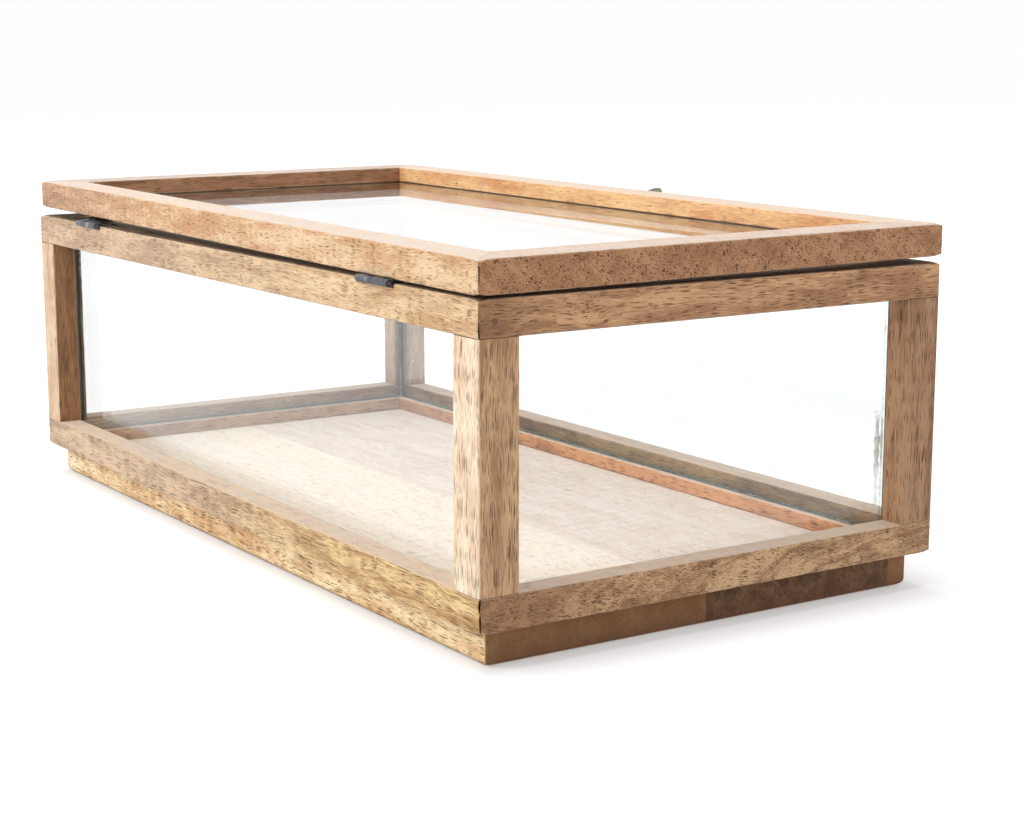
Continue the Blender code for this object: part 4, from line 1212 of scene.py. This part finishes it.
case_screws = nodes_with("case_screw")
lid_screws = nodes_with("lid_screw")
base_screws = nodes_with("base_screw")
nails = nodes_with("nail")
made = set_fasteners("screws_hinge_lower", spots_of(case_screws, 2, -1), SCREW_STEEL, HINGE_SCREW, 4)
finished(made, "case", "screw_steel", *case_screws)
lid_spots = spots_of(lid_screws, 2, 1, lid_lift_only)
made = set_fasteners("screws_hinge_upper", lid_spots, SCREW_STEEL, HINGE_SCREW, 9)
finished(made, "lid", "screw_steel", *lid_screws)
made = set_fasteners("screws_base", spots_of(base_screws, 2, 1), SCREW_STEEL, BASE_SCREW, 2)
finished(made, "case", "screw_steel", *base_screws)
made = set_fasteners("nails_latch", spots_of(nails, 1, 1), AGED_BRASS, LATCH_NAIL, 6)
finished(made, "lid", "aged_brass", *nails)

# %% [markdown]
# ## Filler plugs
#
# The mitres are held by brads, sunk below the wood and covered with dabs of filler. A dab is only
# a small disc that stands a hair proud, so the fastener's tree makes it, with a finish that is
# cloudy like putty. The brad on the left rail was filled with something darker.


# %% Filler plugs over the brads
def filler_finish(name, dark, light):
    filler = Finish(name)
    cloud = filler.noise(filler.scaled(900), 3.0)
    colour = filler.mix(cloud.between(0.35, 0.65), dark, light)
    inputs = {"Base Color": colour, "Roughness": 0.7, "Normal": filler.bump(cloud, 0.00004)}
    return filler.surface(filler.solid(inputs))


FILLER = filler_finish("filler", paint(170, 118, 88), paint(204, 158, 124))
DARK_FILLER = filler_finish("dark_filler", paint(88, 66, 50), paint(134, 100, 74))
PLUG = fastener_size(0.00110, 0.0006, 0.0009, 0.0010)
END_PLUG = fastener_size(0.00130, 0.0006, 0.0009, 0.0010)
PLUG_INSET = 0.0082
PLUG_PROUD = 0.00004
PLUG_OFF_MIDDLE = 0.001

case_z = (UPPER_BOTTOM + UPPER_TOP) / 2 - PLUG_OFF_MIDDLE
lid_z = (LID_BOTTOM + LID_TOP) / 2 + PLUG_OFF_MIDDLE
plug_x = -HALF_LENGTH + PLUG_INSET
plug_y = HALF_WIDTH + PLUG_PROUD
case_plugs = [((plug_x, sy * plug_y, case_z), (0.0, -sy, 0.0)) for sy in (-1.0, 1.0)]
lid_plugs = [(lid_seat((plug_x, sy * plug_y, lid_z)), (0.0, -sy, 0.0)) for sy in (-1.0, 1.0)]
end_y = HALF_WIDTH - PLUG_INSET + PLUG_OFF_MIDDLE
end_plug = ((-HALF_LENGTH - PLUG_PROUD, end_y, case_z), (1.0, 0.0, 0.0))
finished(set_fasteners("filler_plugs_case", case_plugs, FILLER, PLUG, 1), "case", "frame_wood")
finished(set_fasteners("filler_plug_end", [end_plug], DARK_FILLER, END_PLUG, 1), "case", "frame_wood")
finished(set_fasteners("filler_plugs_lid", lid_plugs, FILLER, PLUG, 1), "lid", "lid_wood")

# %% [markdown]
# ## Notches and recesses
#
# The hinge leaves are let into the back rail, and the base screws sit in countersunk holes. The
# pieces around them are whole so far, so a Boolean modifier takes the room out of each. It is
# applied at once, because a finished piece keeps no modifiers.


# %% Cutting
def cut_away(name, shape):
    """Subtract a shape from a finished piece and keep the piece's finish."""
    mesh = bpy.data.meshes.new("cutter")
    shape.to_mesh(mesh)
    shape.free()
    cutter = add_object("cutter", mesh)
    piece = bpy.data.objects[name]
    modifier = piece.modifiers.new("cut", "BOOLEAN")
    modifier.operation = "DIFFERENCE"
    modifier.solver = "EXACT"
    modifier.object = cutter
    mesh = evaluated_mesh(piece)
    piece.modifiers.remove(modifier)
    piece.data = mesh
    bpy.data.objects.remove(cutter)
    print(name, "after cutting has", len(mesh.polygons), "faces")


# %% Notches for the hinges
NOTCH_ROOM = 0.0003
NOTCH_OPENING = 0.002           # the cutter runs this far out of the wood

notches = bmesh.new()
for label in ("left", "right"):
    low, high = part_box("hinge_" + label + "_case_leaf")
    low -= Vector((NOTCH_ROOM, NOTCH_ROOM, NOTCH_ROOM))
    high = Vector((high.x + NOTCH_ROOM, HALF_WIDTH + NOTCH_OPENING, UPPER_TOP + NOTCH_OPENING))
    made = bmesh.ops.create_cube(notches, size=1.0)
    for vert in made["verts"]:
        vert.co = Vector([(low[k] + high[k]) / 2 + vert.co[k] * (high[k] - low[k]) for k in range(3)])
cut_away("upper_frame_back", notches)

# %% Recesses for the base screws
RECESS_OUTER = 0.0040
RECESS_INNER = 0.0018
RECESS_DEPTH = 0.005
RECESS_MIDDLE = 0.0010

for stave, (low, high) in zip(STAVE_LOOKS, stave_boxes):
    recesses = bmesh.new()
    for name in base_screws:
        head_low, head_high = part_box(name)
        spot = (head_low + head_high) / 2
        if low.y < spot.y < high.y:
            middle = Matrix.Translation((spot.x, spot.y, RECESS_MIDDLE))
            bmesh.ops.create_cone(recesses, cap_ends=True, segments=32, radius1=RECESS_OUTER,
                                  radius2=RECESS_INNER, depth=RECESS_DEPTH, matrix=middle)
    if len(recesses.verts):
        cut_away("base_board_" + stave, recesses)
    else:
        recesses.free()

# %% [markdown]
# ## Dowels
#
# The dowels are hidden in the joints, so the frame's own solids stay and only take a finish.

# %% Dowels keep their shape and take a finish
DOWEL_WOOD = wood_finish("dowel_wood", "z", (0, 0, 0), 40, porous=0.3, figure=0.2)
dowels = [node for name, node in frame["nodes"].items() if "dowel" in name]
for dowel in dowels:
    dowel.data.materials.clear()
    dowel.data.materials.append(DOWEL_WOOD)
print("dowels finished:", len(dowels))

# %% [markdown]
# ## Floor
#
# A studio floor is white paper that fades into the white sky. A plain white plane would go grey
# under the lamps' falloff, so it glows a little as well, more so far off. Matt surfaces receive
# only a share of that glow, and reflections find the floor beyond the left end darker.

# %% Floor finish
NEAR_GLOW = 0.34
FAR_GLOW = 0.62
BOUNCE = 0.60                   # share of its glow that matt surfaces receive
SHADED_END = 0.75               # how much darker reflections find the floor beyond the left end

studio = Finish("studio_white")
place = studio.place()
distance = studio.node("ShaderNodeVectorMath", {"operation": "LENGTH"}, {0: place}, out="Value")
bouncing = studio.node("ShaderNodeLightPath", None, None, out="Is Diffuse Ray")
shaded_end = studio.split(place).between(-0.25, -0.60) * bouncing.output("Is Glossy Ray") * SHADED_END
white = studio.mix(bouncing, paint(230, 231, 232), paint(196, 194, 192))
dimmed = studio.mix(shaded_end, white, (0.05, 0.05, 0.05, 1.0))
matt = studio.node("ShaderNodeBsdfDiffuse", None, {0: dimmed})
shine = distance.between(0.35, 1.3) * (FAR_GLOW - NEAR_GLOW) + NEAR_GLOW
shine = shine * (1.0 - bouncing * (1 - BOUNCE)) * (1.0 - shaded_end)
glow = studio.node("ShaderNodeEmission", None, {"Color": (1, 1, 1, 1), "Strength": shine})
floor_mesh.materials.append(studio.surface(studio.node("ShaderNodeAddShader", None, {0: matt, 1: glow})))
print("floor glows from", NEAR_GLOW, "to", FAR_GLOW)
